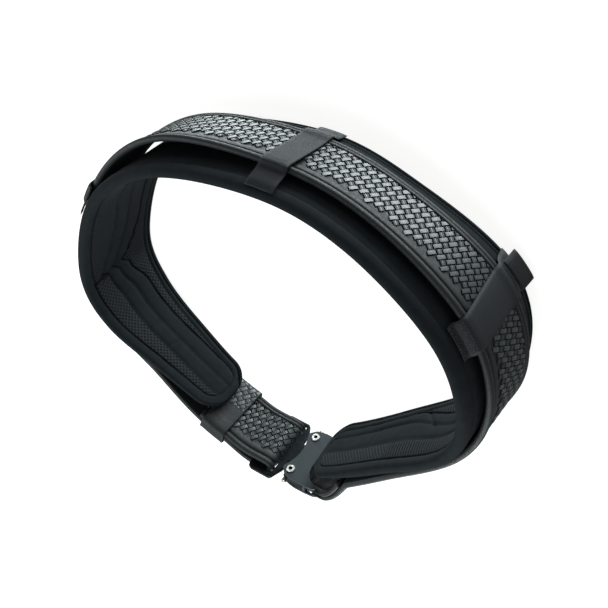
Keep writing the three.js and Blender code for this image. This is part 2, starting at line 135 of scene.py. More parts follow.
def smooth(t):
    """Ease from 0 to 1."""
    share = min(max(t, 0.0), 1.0)
    return share * share * (3 - 2 * share)


def mix(a, b, share):
    """A value part of the way from a to b."""
    return a + (b - a) * share


def lengths_along(points):
    """How far along a line of points each of them lies."""
    at = [0.0]
    for a, b in zip(points, points[1:]):
        at.append(at[-1] + (b - a).length)
    return at


def spline_parts(p0, p1, p2, p3, even=True):
    """The cubic through p1 and p2, evenly timed or timed by the distances between the points."""
    if even:
        start, end = 0.5 * (p2 - p0), 0.5 * (p3 - p1)
    else:
        spans = ((p0, p1), (p1, p2), (p2, p3))
        dt0, dt1, dt2 = (max((b - a).length, 1e-6) ** 0.5 for a, b in spans)
        start = ((p1 - p0) / dt0 - (p2 - p0) / (dt0 + dt1) + (p2 - p1) / dt1) * dt1
        end = ((p2 - p1) / dt1 - (p3 - p1) / (dt1 + dt2) + (p3 - p2) / dt2) * dt1
    return p1, start, -3 * p1 + 3 * p2 - 2 * start - end, 2 * p1 - 2 * p2 + start + end


class Wall:
    """The liner and belt at one place of the loop."""

    def __init__(self, values, slope):
        row = dict(zip(COLUMNS, values))
        self.spot = Vector((row["x"] - CENTRE[0], row["y"] - CENTRE[1], 0))
        self.tangent = Vector((slope[0], slope[1], 0)).normalized()
        self.out = Vector((-self.tangent.y, self.tangent.x, 0))
        self.half, self.lift = row["half"], row["lift"]
        self.low, self.high = row["low"], row["high"]
        self.rise = max(row["rise"], self.half)
        self.lean = tan(radians(row["lean"]))

    def between(self, other, share):
        """A wall part of the way to the next one."""
        made = Wall.__new__(Wall)
        for name, value in self.__dict__.items():
            setattr(made, name, mix(value, getattr(other, name), share))
        return made


def measure_loop():
    """Walls at even steps of the closed curve through the stations, and how far along they lie."""
    rows = [Vector(row) for row in STATIONS.values()]
    count = len(rows)
    walls = []
    for step in range(CURVE_STEPS * count + 1):
        i, w = divmod(step, CURVE_STEPS)
        w /= CURVE_STEPS
        c0, c1, c2, c3 = spline_parts(*(rows[(i + k) % count] for k in (-1, 0, 1, 2)))
        value = c0 + c1 * w + c2 * w * w + c3 * w ** 3
        slope = c1 + 2 * c2 * w + 3 * c3 * w * w
        walls.append(Wall(value, slope))
    return walls, lengths_along([wall.spot for wall in walls])


WALLS, LENGTHS = measure_loop()
LOOP_LENGTH = LENGTHS[-1]


def station_at(name):
    """How far along the loop a station lies."""
    return LENGTHS[CURVE_STEPS * list(STATIONS).index(name)]


SCREW_S = station_at("buckle")
PAD_FROM = SCREW_S + PAD_TAIL_END - LOOP_LENGTH
PAD_TO = SCREW_S + PAD_PIN_END


def wall_at(s):
    """The wall at a distance s along the loop."""
    s %= LOOP_LENGTH
    i = min(bisect_right(LENGTHS, s), len(LENGTHS) - 1) - 1
    return WALLS[i].between(WALLS[i + 1], (s - LENGTHS[i]) / (LENGTHS[i + 1] - LENGTHS[i]))


def on_wall(wall, off, v):
    """A point off outward from the liner's inner face and v above its middle."""
    point = wall.spot + wall.out * (off + v * wall.lean)
    point.z = wall.rise + v
    return point


def place(s, off, v):
    """The same point from its distance along the loop."""
    return on_wall(wall_at(s), off, v)


def buckle_matrix():
    """The buckle's own axes: x along the belt to the tail side, y up, z towards the body."""
    wall = wall_at(SCREW_S)
    up = (Vector((0, 0, 1)) + wall.out * wall.lean).normalized()
    inward = wall.tangent.cross(up)
    turn = Matrix((wall.tangent, up, inward)).transposed().to_4x4()
    return Matrix.Translation(on_wall(wall, BUCKLE_MID, wall.lift)) @ turn


BUCKLE = buckle_matrix()
ALONG, UP, INWARD = (BUCKLE.col[k].xyz for k in range(3))


class Row:
    """One row across the belt: its middle, the way its face looks, the way up, its thickness."""

    def __init__(self, middle, facing, up, share=1.0):
        self.middle, self.facing, self.up, self.share = middle, facing, up, share

    def point(self, w, v):
        """A point w from the back face and v above the middle."""
        return self.middle + self.facing * (w - BELT_THICK / 2) * self.share + self.up * v


def layer_row(d, side):
    """The belt d past the screws: side 1 is the outer layer and -1 the one folded inside it."""
    wall = wall_at(SCREW_S + d)
    from_screws = d if d < LOOP_LENGTH / 2 else d - LOOP_LENGTH
    at_pin = from_screws < 0
    centre = (wall.low + wall.high) / 2 + BELT_THICK / 2 - (LAYER_PITCH if side < 0 else 0)
    tilt = wall.lean + (wall.high - wall.low) / BELT_WIDTH
    turn = PIN["turn"] if at_pin else BAR["turn"]
    straight = BUCKLE @ Vector((from_screws, 0, -side * turn))
    reach = STRAIGHT["pin"] if at_pin else STRAIGHT["tail"]
    free = smooth((abs(from_screws) - reach) / STRAIGHT["blend"])
    out = (-INWARD).lerp(wall.out, free).normalized()
    up = (UP / UP.z).lerp(Vector((0, 0, 1)) + wall.out * tilt, free)
    pared = smooth((abs(from_screws) - SKIVE["from"]) / (SKIVE["to"] - SKIVE["from"]))
    share = mix(SKIVE["thin"], 1, pared) if at_pin else 1.0
    return Row(straight.lerp(on_wall(wall, centre, wall.lift), free), out * side, up, share)


def turn_row(x, radius, way, angle, share):
    """The belt on its way round a bar across the buckle."""
    facing = INWARD * (way * cos(angle)) - ALONG * (way * sin(angle))
    middle = BUCKLE @ Vector((x, 0, 0)) + facing * radius
    return Row(middle, facing, UP / UP.z, share)


def belt_rows(step=1.7):
    """Rows from the tail end round the bar, round the waist and round the rear pin."""
    def stretch(start, end, row, pitch=step):
        count = max(2, round(abs(end - start) / pitch) + 1)
        return [row(mix(start, end, i / (count - 1))) for i in range(count)]
    turns = [(BAR["x"], BAR["turn"], 1, 1.0), (PIN["x"], PIN["turn"], -1, SKIVE["thin"])]
    bends = [stretch(BEND_STEP, pi - BEND_STEP,
                     lambda angle, t=t: turn_row(t[0], t[1], t[2], angle, t[3]), BEND_STEP)
             for t in turns]
    return (
        stretch(TAIL_END, BAR["x"], lambda d: layer_row(d, -1))
        + bends[0]
        + stretch(BAR["x"], LOOP_LENGTH + PIN["x"], lambda d: layer_row(d, 1))
        + bends[1]
        + stretch(PIN["x"], FOLD_END, lambda d: layer_row(LOOP_LENGTH + d, -1))
    )


ROWS = belt_rows()
ROW_AT = lengths_along([row.middle for row in ROWS])


def belt_at(length):
    """The belt's row at a length from its tail end."""
    length = min(max(length, 0.0), ROW_AT[-1] - 1e-6)
    i = bisect_right(ROW_AT, length) - 1
    share = (length - ROW_AT[i]) / (ROW_AT[i + 1] - ROW_AT[i])
    a, b = ROWS[i], ROWS[i + 1]
    return Row(a.middle.lerp(b.middle, share), a.facing.lerp(b.facing, share),
               a.up.lerp(b.up, share), mix(a.share, b.share, share))


# Sizes and colours that a user would change

def length_property(name, description, default):
    return FloatProperty(name=name, description=description, default=default, min=0.0,
                         unit="LENGTH", subtype="DISTANCE")


def colour_property(name, description, sheet_colour):
    return FloatVectorProperty(name=name, description=description, default=linear(sheet_colour),
                               size=4, min=0.0, max=1.0, subtype="COLOR")


def linear(sheet_colour):
    """An sRGB hex colour as the linear colour that the shaders take."""
    shares = [int(sheet_colour[i:i + 2], 16) / 255 for i in (1, 3, 5)]
    mixed = [c / 12.92 if c <= 0.04045 else ((c + 0.055) / 1.055) ** 2.4 for c in shares]
    return (*mixed, 1.0)


class StrapSizes(bpy.types.PropertyGroup):
    piping: length_property("Large piping", "Radius of the upper piping", 3.2 * MM)
    cord: length_property("Small piping", "Radius of the lower edge piping", 2.4 * MM)
    relief: length_property("Relief", "How far the basketweave stands out", 1.25 * MM)
    weave_top: length_property("Weave top", "Weave's upper end over the middle", 15.0 * MM)
    weave_foot: length_property("Weave foot", "Weave's lower end under the middle", 20.9 * MM)


class LinerSizes(bpy.types.PropertyGroup):
    ridge: length_property("Ridge", "How far the padded ridges stand out", 2.3 * MM)
    rim: length_property("Rim", "Width of the binding along the liner's edge", 9.5 * MM)
    net: length_property("Net pitch", "Spacing of the net's ribs", 3.1 * MM)
    net_relief: length_property("Net relief", "Height of the net's ribs", 0.55 * MM)


class WebbingSizes(bpy.types.PropertyGroup):
    thick: length_property("Thickness", "Thickness of the keepers' webbing", 1.6 * MM)
    rib: length_property("Rib pitch", "Spacing of the webbing's weft ribs", 1.05 * MM)
    stitch: length_property("Stitch", "Length of one stitch at the sewn end", 1.9 * MM)
    stitch_rows: IntProperty(name="Stitch rows", description="Rows of stitches at a sewn end",
                             default=9, min=1, max=20)


class BuckleSizes(bpy.types.PropertyGroup):
    edge: length_property("Edge", "Rounding of the plates' edges", 0.7 * MM)
    corner: length_property("Corner", "Rounding of the plates' corners", 1.6 * MM)
    socket: length_property("Socket", "Across the corners of a screw's hex socket", 4.0 * MM)


class Colours(bpy.types.PropertyGroup):
    leather: colour_property("Leather", "Top coat of the belt", "#0f1415")
    liner: colour_property("Liner", "Brushed knit of the liner", "#191d1f")
    net: colour_property("Net", "Mesh on the liner's inner face", "#15181a")
    webbing: colour_property("Webbing", "Nylon keepers", "#181b1d")
    thread: colour_property("Thread", "Stitches of the sewn keepers", "#2f3537")
    plate: colour_property("Plate", "Satin buckle plates", "#282f32")
    frame_steel: colour_property("Frame steel", "Blackened parts of the buckle", "#1d2123")
    steel: colour_property("Polished steel", "Screws and rear pin", "#e2e2dd")
    nickel: colour_property("Nickel silver", "Release buttons", "#b5ad9c")
    floor: colour_property("Floor", "Studio floor", "#f8f8f7")


# Materials

def add_node(tree, kind, settings=None, links=None):
    """Add a node, give it its settings and link its inputs."""
    made = tree.nodes.new(kind)
    for name, value in (settings or {}).items():
        if isinstance(name, int) or name in made.inputs:
            made.inputs[name].default_value = value
        else:
            setattr(made, name, value)
    for name, source in (links or {}).items():
        tree.links.new(source, made.inputs[name])
    return made


def new_material(name):
    """An empty material and its node tree."""
    material = bpy.data.materials.get(name) or bpy.data.materials.new(name)
    material.use_nodes = True
    material.node_tree.nodes.clear()
    return material, material.node_tree


def finish_material(tree, settings, colour=None, rough=None, normal=None):
    """End a material in the standard surface shader."""
    links = {"Base Color": colour, "Roughness": rough, "Normal": normal}
    shader = add_node(tree, "ShaderNodeBsdfPrincipled", settings,
                      {name: source for name, source in links.items() if source})
    add_node(tree, "ShaderNodeOutputMaterial", links={"Surface": shader.outputs["BSDF"]})


def per_mm(pitch):
    """Pattern repeats in a metre for a spacing in millimetres."""
    return 1 / (pitch * MM)


def ranged(low, high, low_in=0.3, high_in=0.7):
    """Settings that move a pattern's middle range, or the range given, to low and high."""
    return {"From Min": low_in, "From Max": high_in, "To Min": low, "To Max": high}


def tinted(colour, share):
    """A colour made lighter or darker."""
    return tuple(min(1.0, c * share) for c in colour[:3]) + (1.0,)


def varied(tree, colour, where, pitch, amount):
    """A colour that drifts lighter and darker over a slow noise."""
    drift = add_node(tree, "ShaderNodeTexNoise", {"Scale": per_mm(pitch), "Detail": 3.0},
                     {"Vector": where})
    ends = {"data_type": "RGBA", 6: tinted(colour, 1 - amount), 7: tinted(colour, 1 + amount)}
    return add_node(tree, "ShaderNodeMix", ends, {0: drift.outputs["Fac"]}).outputs[2]


def grained(tree, where, pitch, detail, strength, depth, over=None):
    """A fine noise in the surface: its value, and the normal of the bumps that it makes."""
    noise_node = add_node(tree, "ShaderNodeTexNoise", {"Scale": per_mm(pitch), "Detail": detail},
                          {"Vector": where})
    links = {"Height": noise_node.outputs["Fac"]}
    if over:
        links["Normal"] = over
    bump = add_node(tree, "ShaderNodeBump", {"Strength": strength, "Distance": depth * MM}, links)
    return noise_node.outputs["Fac"], bump.outputs["Normal"]


def leather_material(colour):
    """Black top grain leather under a hard finish coat: tight pores and a soft broken gloss."""
    material, tree = new_material("top_coated_leather")
    where = add_node(tree, "ShaderNodeTexCoord").outputs["Object"]
    grain = add_node(tree, "ShaderNodeTexVoronoi", {"Scale": per_mm(0.9), "feature": "F1"},
                     {"Vector": where})
    pores, wrinkle = grained(tree, where, pitch=2.2, detail=5.0, strength=0.35, depth=0.12)
    pitted = add_node(tree, "ShaderNodeBump", {"Strength": 0.25, "Distance": 0.06 * MM},
                      {"Height": grain.outputs["Distance"], "Normal": wrinkle})
    gloss = add_node(tree, "ShaderNodeMapRange", ranged(0.54, 0.7), {"Value": pores})
    finish_material(tree, {"Specular IOR Level": 0.36},
                    varied(tree, colour, where, pitch=14, amount=0.25),
                    gloss.outputs["Result"], pitted.outputs["Normal"])
    return material


def weave_material(colour):
    """The same leather split into basketweave strips: glossier crowns with a painted highlight,
    and painted shade in the valleys.
    """
    material, tree = new_material("basketweave_leather")
    where = add_node(tree, "ShaderNodeTexCoord").outputs["Object"]
    relief = add_node(tree, "ShaderNodeAttribute", {"attribute_name": "relief"}).outputs["Fac"]
    bump = grained(tree, where, pitch=1.1, detail=4.0, strength=0.5, depth=0.14)[1]
    # Painted light: by the relief, the colour runs from painted shade in the valleys to a painted
    # highlight on the crowns
    painted_light_share = add_node(tree, "ShaderNodeMapRange", ranged(0.0, 1.0, 0.5, 0.82), {"Value": relief})
    painted_light_colour = add_node(tree, "ShaderNodeMix",
                     {"data_type": "RGBA", 6: tinted(colour, 0.2), 7: tinted(colour, 3.5)},
                     {0: painted_light_share.outputs["Result"]})
    gloss = add_node(tree, "ShaderNodeMapRange", ranged(0.85, 0.46, 0.45, 0.8), {"Value": relief})
    finish_material(tree, {"Specular IOR Level": 0.6}, painted_light_colour.outputs[2],
                    gloss.outputs["Result"], bump)
    return material


def knit_material(colour):
    """Brushed polyester knit over foam: matte, a fine nap that catches grazing light."""
    material, tree = new_material("brushed_knit")
    flat = add_node(tree, "ShaderNodeUVMap", {"uv_map": "flat"}).outputs["UV"]
    where = add_node(tree, "ShaderNodeTexCoord").outputs["Object"]
    stretched = add_node(tree, "ShaderNodeMapping", {"Scale": (1.0, 0.35, 1.0)}, {"Vector": flat})
    nap, bump = grained(tree, stretched.outputs["Vector"], pitch=1.0, detail=4.0, strength=0.5,
                        depth=0.2)
    fuzz = grained(tree, where, pitch=0.6, detail=2.0, strength=0.3, depth=0.1, over=bump)[1]
    matte = add_node(tree, "ShaderNodeMapRange", ranged(0.82, 0.96), {"Value": nap})
    finish_material(tree, {"Specular IOR Level": 0.06},
                    varied(tree, colour, where, pitch=9, amount=0.3),
                    matte.outputs["Result"], fuzz)
    return material


def net_material(colour):
    """Knitted spacer mesh: ribs of coarse yarn, with a painted highlight on their crests and
    painted shade in the openings.
    """
    material, tree = new_material("spacer_mesh")
    flat = add_node(tree, "ShaderNodeUVMap", {"uv_map": "flat"}).outputs["UV"]
    relief = add_node(tree, "ShaderNodeAttribute", {"attribute_name": "relief"}).outputs["Fac"]
    yarn = add_node(tree, "ShaderNodeTexVoronoi", {"Scale": per_mm(1.1), "feature": "F1"},
                    {"Vector": flat}).outputs["Distance"]
    bump = add_node(tree, "ShaderNodeBump", {"Strength": 0.7, "Distance": 0.3 * MM},
                    {"Height": yarn})
    # Painted light: the colour goes from painted shade in the openings to a painted highlight on
    # the crests
    crest = add_node(tree, "ShaderNodeMapRange", ranged(0.0, 1.0, 0.15, 0.75), {"Value": relief})
    painted_light_colour = add_node(tree, "ShaderNodeMix",
                     {"data_type": "RGBA", 6: tinted(colour, 0.4), 7: tinted(colour, 2.3)},
                     {0: crest.outputs["Result"]})
    matte = add_node(tree, "ShaderNodeMapRange", ranged(0.7, 0.9, 0.0, 0.6), {"Value": yarn})
    finish_material(tree, {"Specular IOR Level": 0.1}, painted_light_colour.outputs[2],
                    matte.outputs["Result"], bump.outputs["Normal"])
    return material


def webbing_material(colour):
    """Woven nylon webbing: close weft ribs with a silky shine along their crests, a painted
    highlight on the crests and painted shade between the ribs.
    """
    material, tree = new_material("nylon_webbing")
    flat = add_node(tree, "ShaderNodeUVMap", {"uv_map": "flat"}).outputs["UV"]
    relief = add_node(tree, "ShaderNodeAttribute", {"attribute_name": "relief"}).outputs["Fac"]
    warp = add_node(tree, "ShaderNodeTexWave", {"Scale": per_mm(1.3 * pi), "Distortion": 1.5,
                                                "bands_direction": "Y"}, {"Vector": flat})
    bump = add_node(tree, "ShaderNodeBump", {"Strength": 0.4, "Distance": 0.15 * MM},
                    {"Height": warp.outputs["Fac"]})
    # Painted light: the colour goes from painted shade between the ribs to a painted highlight on
    # their crests
    painted_light_colour = add_node(tree, "ShaderNodeMix",
                     {"data_type": "RGBA", 6: tinted(colour, 0.15), 7: tinted(colour, 2.2)},
                     {0: relief})
    silk = add_node(tree, "ShaderNodeMapRange", ranged(0.8, 0.5, 0.0, 1.0), {"Value": relief})
    finish_material(tree, {"Specular IOR Level": 0.25}, painted_light_colour.outputs[2],
                    silk.outputs["Result"], bump.outputs["Normal"])
    return material


def plate_material(colour):
    """Bead blasted and grey coated steel: an even satin with faint rubbing marks."""
    material, tree = new_material("satin_coated_steel")
    where = add_node(tree, "ShaderNodeTexCoord").outputs["Object"]
    blast = grained(tree, where, pitch=0.7, detail=3.0, strength=0.25, depth=0.04)[1]
    rubbed = add_node(tree, "ShaderNodeTexNoise", {"Scale": per_mm(11), "Detail": 6.0},
                      {"Vector": where})
    satin = add_node(tree, "ShaderNodeMapRange", ranged(0.5, 0.68),
                     {"Value": rubbed.outputs["Fac"]})
    finish_material(tree, {"Metallic": 0.2, "Specular IOR Level": 0.3},
                    varied(tree, colour, where, pitch=16, amount=0.12),
                    satin.outputs["Result"], blast)
    return material


def metal_material(name, colour, rough, wear):
    """A plated or blackened metal part, with roughness that drifts where it is handled."""
    material, tree = new_material(name)
    where = add_node(tree, "ShaderNodeTexCoord").outputs["Object"]
    handled, bump = grained(tree, where, pitch=5, detail=5.0, strength=0.15, depth=0.03)
    gloss = add_node(tree, "ShaderNodeMapRange", ranged(rough * 0.8, rough * 1.25),
                     {"Value": handled})
    finish_material(tree, {"Metallic": 1.0}, varied(tree, colour, where, pitch=4, amount=wear),
                    gloss.outputs["Result"], bump)
    return material


def black_steel(colours):
    """Heat blackened steel of the core, the tongue and the levers."""
    return metal_material("blackened_steel", colours.frame_steel, rough=0.42, wear=0.25)


def thread_material(colour):
    """Bonded polyester thread: dark, with a short bright line along each stitch."""
    material, tree = new_material("polyester_thread")
    where = add_node(tree, "ShaderNodeTexCoord").outputs["Object"]
    twist, bump = grained(tree, where, pitch=0.8, detail=3.0, strength=0.4, depth=0.05)
    gloss = add_node(tree, "ShaderNodeMapRange", ranged(0.45, 0.65), {"Value": twist})
    finish_material(tree, {"Specular IOR Level": 0.4},
                    varied(tree, colour, where, pitch=3, amount=0.2),
                    gloss.outputs["Result"], bump)
    return material


def floor_material(colour):
    """Opal acrylic of a light table: matte white and softly lit from inside."""
    material, tree = new_material("opal_acrylic")
    finish_material(tree, {"Base Color": tinted(colour, 0.35), "Roughness": 0.9,
                           "Specular IOR Level": 0.1, "Emission Color": colour,
                           "Emission Strength": 0.95})
    return material


# Modelling helpers

def finish_piece(name, bm, material, body, nodes):
    """Turn a mesh in millimetres into a piece of the belt that rides on a body."""
    bmesh.ops.recalc_face_normals(bm, faces=bm.faces)
    bmesh.ops.scale(bm, vec=(MM, MM, MM), verts=bm.verts)
    for face in bm.faces:
        face.smooth = True
    mesh = bpy.data.meshes.new(name)
    bm.to_mesh(mesh)
    bm.free()
    mesh.materials.append(material)
    piece = bpy.data.objects.new(name, mesh)
    bpy.context.scene.collection.objects.link(piece)
    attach(piece, body)
    if nodes:
        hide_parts(*nodes)
    return piece


def sharpen(piece, angle=35):
    """Smooth shading that breaks at sharp edges."""
    mesh = piece.data
    bm = bmesh.new()
    bm.from_mesh(mesh)
    for edge in bm.edges:
        if edge.is_manifold and edge.calc_face_angle(0) > radians(angle):
            edge.smooth = False
    bm.to_mesh(mesh)
    bm.free()
    even = piece.modifiers.new("even shading", "WEIGHTED_NORMAL")
    even.keep_sharp = True


def close_rims(bm):
    """Fill the open edges of a mesh."""
    bmesh.ops.holes_fill(bm, edges=[edge for edge in bm.edges if edge.is_boundary], sides=0)


def loft(across, along, point, flat=None, relief=None):
    """A grid of faces whose corners are moved by point(i, j), closed into a capped tube."""
    bm = bmesh.new()
    bmesh.ops.create_grid(bm, x_segments=across, y_segments=along, size=0.5)
    layer = bm.loops.layers.uv.new("flat")
    height = bm.verts.layers.float.new("relief")
    spots = {vert: (round((vert.co.x + 0.5) * across), round((vert.co.y + 0.5) * along))
             for vert in bm.verts}
    for face in bm.faces if flat else ():
        for corner in face.loops:
            u, v = flat(*spots[corner.vert])
            corner[layer].uv = (u * MM, v * MM)
    for vert, spot in spots.items() if relief else ():
        vert[height] = relief(*spot)
    for vert, spot in spots.items():
        vert.co = point(*spot)
    bmesh.ops.remove_doubles(bm, verts=bm.verts, dist=0.002)
    close_rims(bm)
    return bm


def arc(w, v, radius, start, end, steps):
    """Points of an arc, from one angle to another in degrees."""
    angles = [radians(mix(start, end, i / steps)) for i in range(steps + 1)]
    return [(w + radius * cos(a), v + radius * sin(a)) for a in angles]


def line(a, b, steps):
    """Points between two points, both ends left out."""
    return [(mix(a[0], b[0], i / steps), mix(a[1], b[1], i / steps)) for i in range(1, steps)]


# Belt

FIELD = 3.6          # from the belt's back face to the sunk field under the weave
MARGIN = 4.4         # from the back face to the plain leather above it


def strap_section(sizes):
    """The belt's section: double piping below, a sunk field for the weave, large piping above.

    Its points go round once, as (w, v): w from the back face and v above the middle.
    """
    cord, piping = sizes.cord / MM, sizes.piping / MM
    foot, top = -sizes.weave_foot / MM, sizes.weave_top / MM
    section = arc(2.9, -26.15, cord, -165, 38, 9)
    section += arc(3.45, -23.0, cord * 0.76, -48, 70, 5)
    section += [(3.2, foot - 0.1), (FIELD, foot + 0.7)]
    section += line((FIELD, foot + 0.7), (FIELD, top), 10)
    section += [(FIELD, top), (MARGIN - 0.2, top + 0.9), (MARGIN, top + 1.8), (MARGIN, 19.4)]
    section += [(MARGIN - 0.15, 20.0), (MARGIN - 0.6, 20.7), (3.35, 21.2)]
    section += arc(2.8, 24.9, piping, -78, 165, 20)
    section += [(0.0, 24.0)] + line((0.0, 24.0), (0.0, -26.4), 6) + [(0.0, -26.4)]
    section = [(max(w, 0.0), v) for w, v in section]
    return section + section[:1]


def build_strap(sizes, material):
    """The leather strap, one closed body from its tail end to its folded end."""
    section = strap_section(sizes)
    around = lengths_along([Vector(point) for point in section])
    last = len(ROWS) - 1
    bm = loft(len(section) - 1, last,
              lambda i, j: ROWS[j].point(*section[i]),
              lambda i, j: (ROW_AT[j], around[i]))
    finish_piece("strap", bm, material, "belt", ["duty_belt"])


# Basketweave: strips at 58 and -35 degrees to the belt, over and under each other in turn
WEAVE_A = Vector((3.65, 5.88))      # one crossing's step along the smooth strips
WEAVE_B = Vector((3.65, -2.52))     # and along the corded strips
PAD_REACH = 3.0                     # how far a pad reaches past its own height on the belt
RAGGED = 2.4                        # no pad starts nearer than this to the weave's open edge
WEAVE_SINK = 0.25                   # share of the relief by which a pad's foot is sunk
WEAVE_EDGE = 50                     # degrees at which a pad's edge is drawn sharp
# A pad's half lengths in steps, its heights from side to side, its foot, and how it arches along
# and across the strip. A corded strip has two cords.
PADS = {
    "smooth": {"reach": (0.6, 0.44), "columns": (0, 1, 1, 1, 1, 1, 0), "foot": 0.35,
               "arch": (0.65, 0.1)},
    "corded": {"reach": (0.4, 0.57), "columns": (0, 0.85, 0.42, 0.85, 0.42, 0.72, 0),
               "foot": 0.15, "arch": (0.0, 0.3)},
}


def weave_pad(kind):
    """One strip's crown between two crossings, closed below, centred on the origin."""
    form = PADS[kind]
    columns, rows = len(form["columns"]) - 1, 5
    bm = bmesh.new()
    height = bm.verts.layers.float.new("relief")
    bmesh.ops.create_grid(bm, x_segments=columns, y_segments=rows, size=0.5)
    for vert in bm.verts:
        column = form["columns"][round((vert.co.x + 0.5) * columns)]
        edge = max(abs(vert.co.x), abs(vert.co.y)) > 0.49
        p, q = sin(vert.co.x * pi), sin(vert.co.y * pi)
        if kind == "corded":
            p = vert.co.x * 2
        crown = (1 - form["arch"][0] * abs(p) ** 3) * (1 - form["arch"][1] * abs(q) ** 3)
        rise = form["foot"] + (1 - form["foot"]) * column * crown
        flat = WEAVE_A * (p * form["reach"][0]) + WEAVE_B * (q * form["reach"][1])
        vert.co = Vector((flat.x, flat.y, -WEAVE_SINK if edge else rise))
        vert[height] = 0.0 if edge else rise
    close_rims(bm)
    bmesh.ops.recalc_face_normals(bm, faces=bm.faces)
    mesh = bpy.data.meshes.new("weave_pad")
    bm.to_mesh(mesh)
    bm.free()
    return mesh


def trim(bm, ends, way):
    """Cut off and close what lies before the first end and past the second, on a direction."""
    for end, sign in zip(ends, (-1, 1)):
        geom = list(bm.verts) + list(bm.edges) + list(bm.faces)
        bmesh.ops.bisect_plane(bm, geom=geom, plane_co=end, plane_no=Vector(way) * sign,
                               clear_outer=True)
    close_rims(bm)


def weave_sheet(start, end, low, high, ragged=True):
    """A flat basketweave from start to end along the belt and low to high across it.

    Its lower edge, which is the upper one on the belt, is left ragged or cut straight.
    """
    bm = bmesh.new()
    steps = ceil((end - start + abs(low) + abs(high)) / PAD_REACH)
    span = range(-steps, steps + 1)
    for parity, kind in enumerate(("smooth", "corded")):
        pad = weave_pad(kind)
        spot = Vector((0, 0, 0))
        for i in span:
            for j in span:
                if (i + j) % 2 != parity:
                    continue
                x, y = i * WEAVE_A + j * WEAVE_B
                if not (start <= start + x <= end and low - PAD_REACH <= y <= high + PAD_REACH):
                    continue
                if ragged and y < low + RAGGED:
                    continue
                goal = Vector((start + x, y, 0))
                pad.transform(Matrix.Translation(goal - spot))
                spot = goal
                bm.from_mesh(pad)
        bpy.data.meshes.remove(pad)
    foot = low - PAD_REACH if ragged else low
    trim(bm, ((0, foot, 0), (0, high, 0)), (0, 1, 0))
    return bm


def build_weave(sizes, material):
    """The belt's basketweave, from its tail end to where it is pared for the rear pin."""
    tail, before_pin = 3.0, 12.0
    inner_layer = PIN["x"] - FOLD_END
    pared = ROW_AT[-1] - inner_layer - pi * PIN["turn"] - before_pin
    bm = weave_sheet(tail, pared, -sizes.weave_top / MM, sizes.weave_foot / MM)
    base, relief = FIELD + 0.05, sizes.relief / MM
    for vert in bm.verts:
        vert.co = belt_at(vert.co.x).point(base + relief * vert.co.z, -vert.co.y)
    piece = finish_piece("strap_weave", bm, material, "belt", [])
    sharpen(piece, WEAVE_EDGE)


# Liner

END_SEAM = 7.5        # from the liner's end to its binding's seam
OUTER_FACE = 11.75    # from the inner face's plane to the middle of the outer cloth
NET_BED = 2.0         # how deep the nets' bed and the seams lie under that plane
SEAM_BED = 2.7
RIDGE_BASE = 2.5
RIDGE_POINTS = 8      # steps across one padded ridge
# Depth and width of the groove of an end's seam, and how far the cloth wrinkles inside and waves
# outside
CLOTH = {"groove": 1.5, "groove_wide": 0.9, "wrinkle": 0.35, "wave": 0.25}
TIP = {"round": 4.0, "share": 0.4}     # an end is rounded down to this share of its thickness
# The rounded rim over the top of the liner at its full height: (off, v)
RIM = ((0.8, 45), (1.0, 46.8), (1.7, 48.5), (2.8, 49.6), (4.0, 50), (5.8, 50), (7.4, 49.6),
       (9.0, 48.6), (10.4, 47), (11.5, 44.6))
# Part of the way round that has slanting ribs in its net instead of diamonds
RIBBED_NET = {"from": 775, "to": 1540, "blend": 20}


def round_end(into):
    """How far a quarter round has drawn in at a share of its radius from the end."""
    return 1 - sqrt(max(0.0, 1 - (1 - min(into, 1.0)) ** 2))


def liner_station(share):
    """A place along the liner: its wall, length from the nearer end, thinness and half height."""
    closer_at_ends = share - 0.3 * sin(2 * pi * share) / pi
    s = mix(PAD_FROM, PAD_TO, closer_at_ends)
    to_end = min(s - PAD_FROM, PAD_TO - s)
    wall = wall_at(s)
    half = wall.half - PAD_END_ROUND * round_end(to_end / PAD_END_ROUND)
    thin = mix(PAD_END_THIN, 1, smooth(to_end / PAD_END_REACH))
    return {"s": s, "to_end": max(to_end, 0.0), "wall": wall, "half": half, "thin": thin}


def ridge_seams(station, rim):
    """Heights of the inner face's seams at a station, from the top rim to the bottom rim."""
    s = station["s"] + LOOP_LENGTH if station["s"] < PAD_TAIL_END + SCREW_S else station["s"]
    i = max(k for k, row in enumerate(RIDGE_SEAMS[:-1]) if row["s"] <= s)
    a, b = RIDGE_SEAMS[i], RIDGE_SEAMS[i + 1]
    share = smooth((s - a["s"]) / (b["s"] - a["s"]))
    inside = (station["to_end"] - END_SEAM) / (PAD_END_ROUND - END_SEAM)
    top = station["wall"].half - rim - (PAD_END_ROUND - END_SEAM) * round_end(max(inside, 0.0))
    bottom = -top
    knots = [top, *(mix(a[k], b[k], share) for k in ("upper", "valley", "lower")), bottom]
    # Where the liner is low, the seams crowd but don't cross
    for k in (1, 2, 3):
        knots[k] = min(knots[k], knots[k - 1] - 1.4)
    for k in (3, 2, 1):
        knots[k] = max(knots[k], knots[k + 1] + 1.2)
    return s, knots


def creases(s, v):
    """How deep the liner's creases press the inner face in."""
    deep = 0.0
    for row in CREASES:
        across = (s - row["s"] - row["slant"] * (v - row["v"])) / row["wide"]
        along = (v - row["v"]) / row["long"]
        if abs(across) < 3 and abs(along) < 2:
            deep += row["deep"] * exp(-across * across - along ** 4)
    return deep


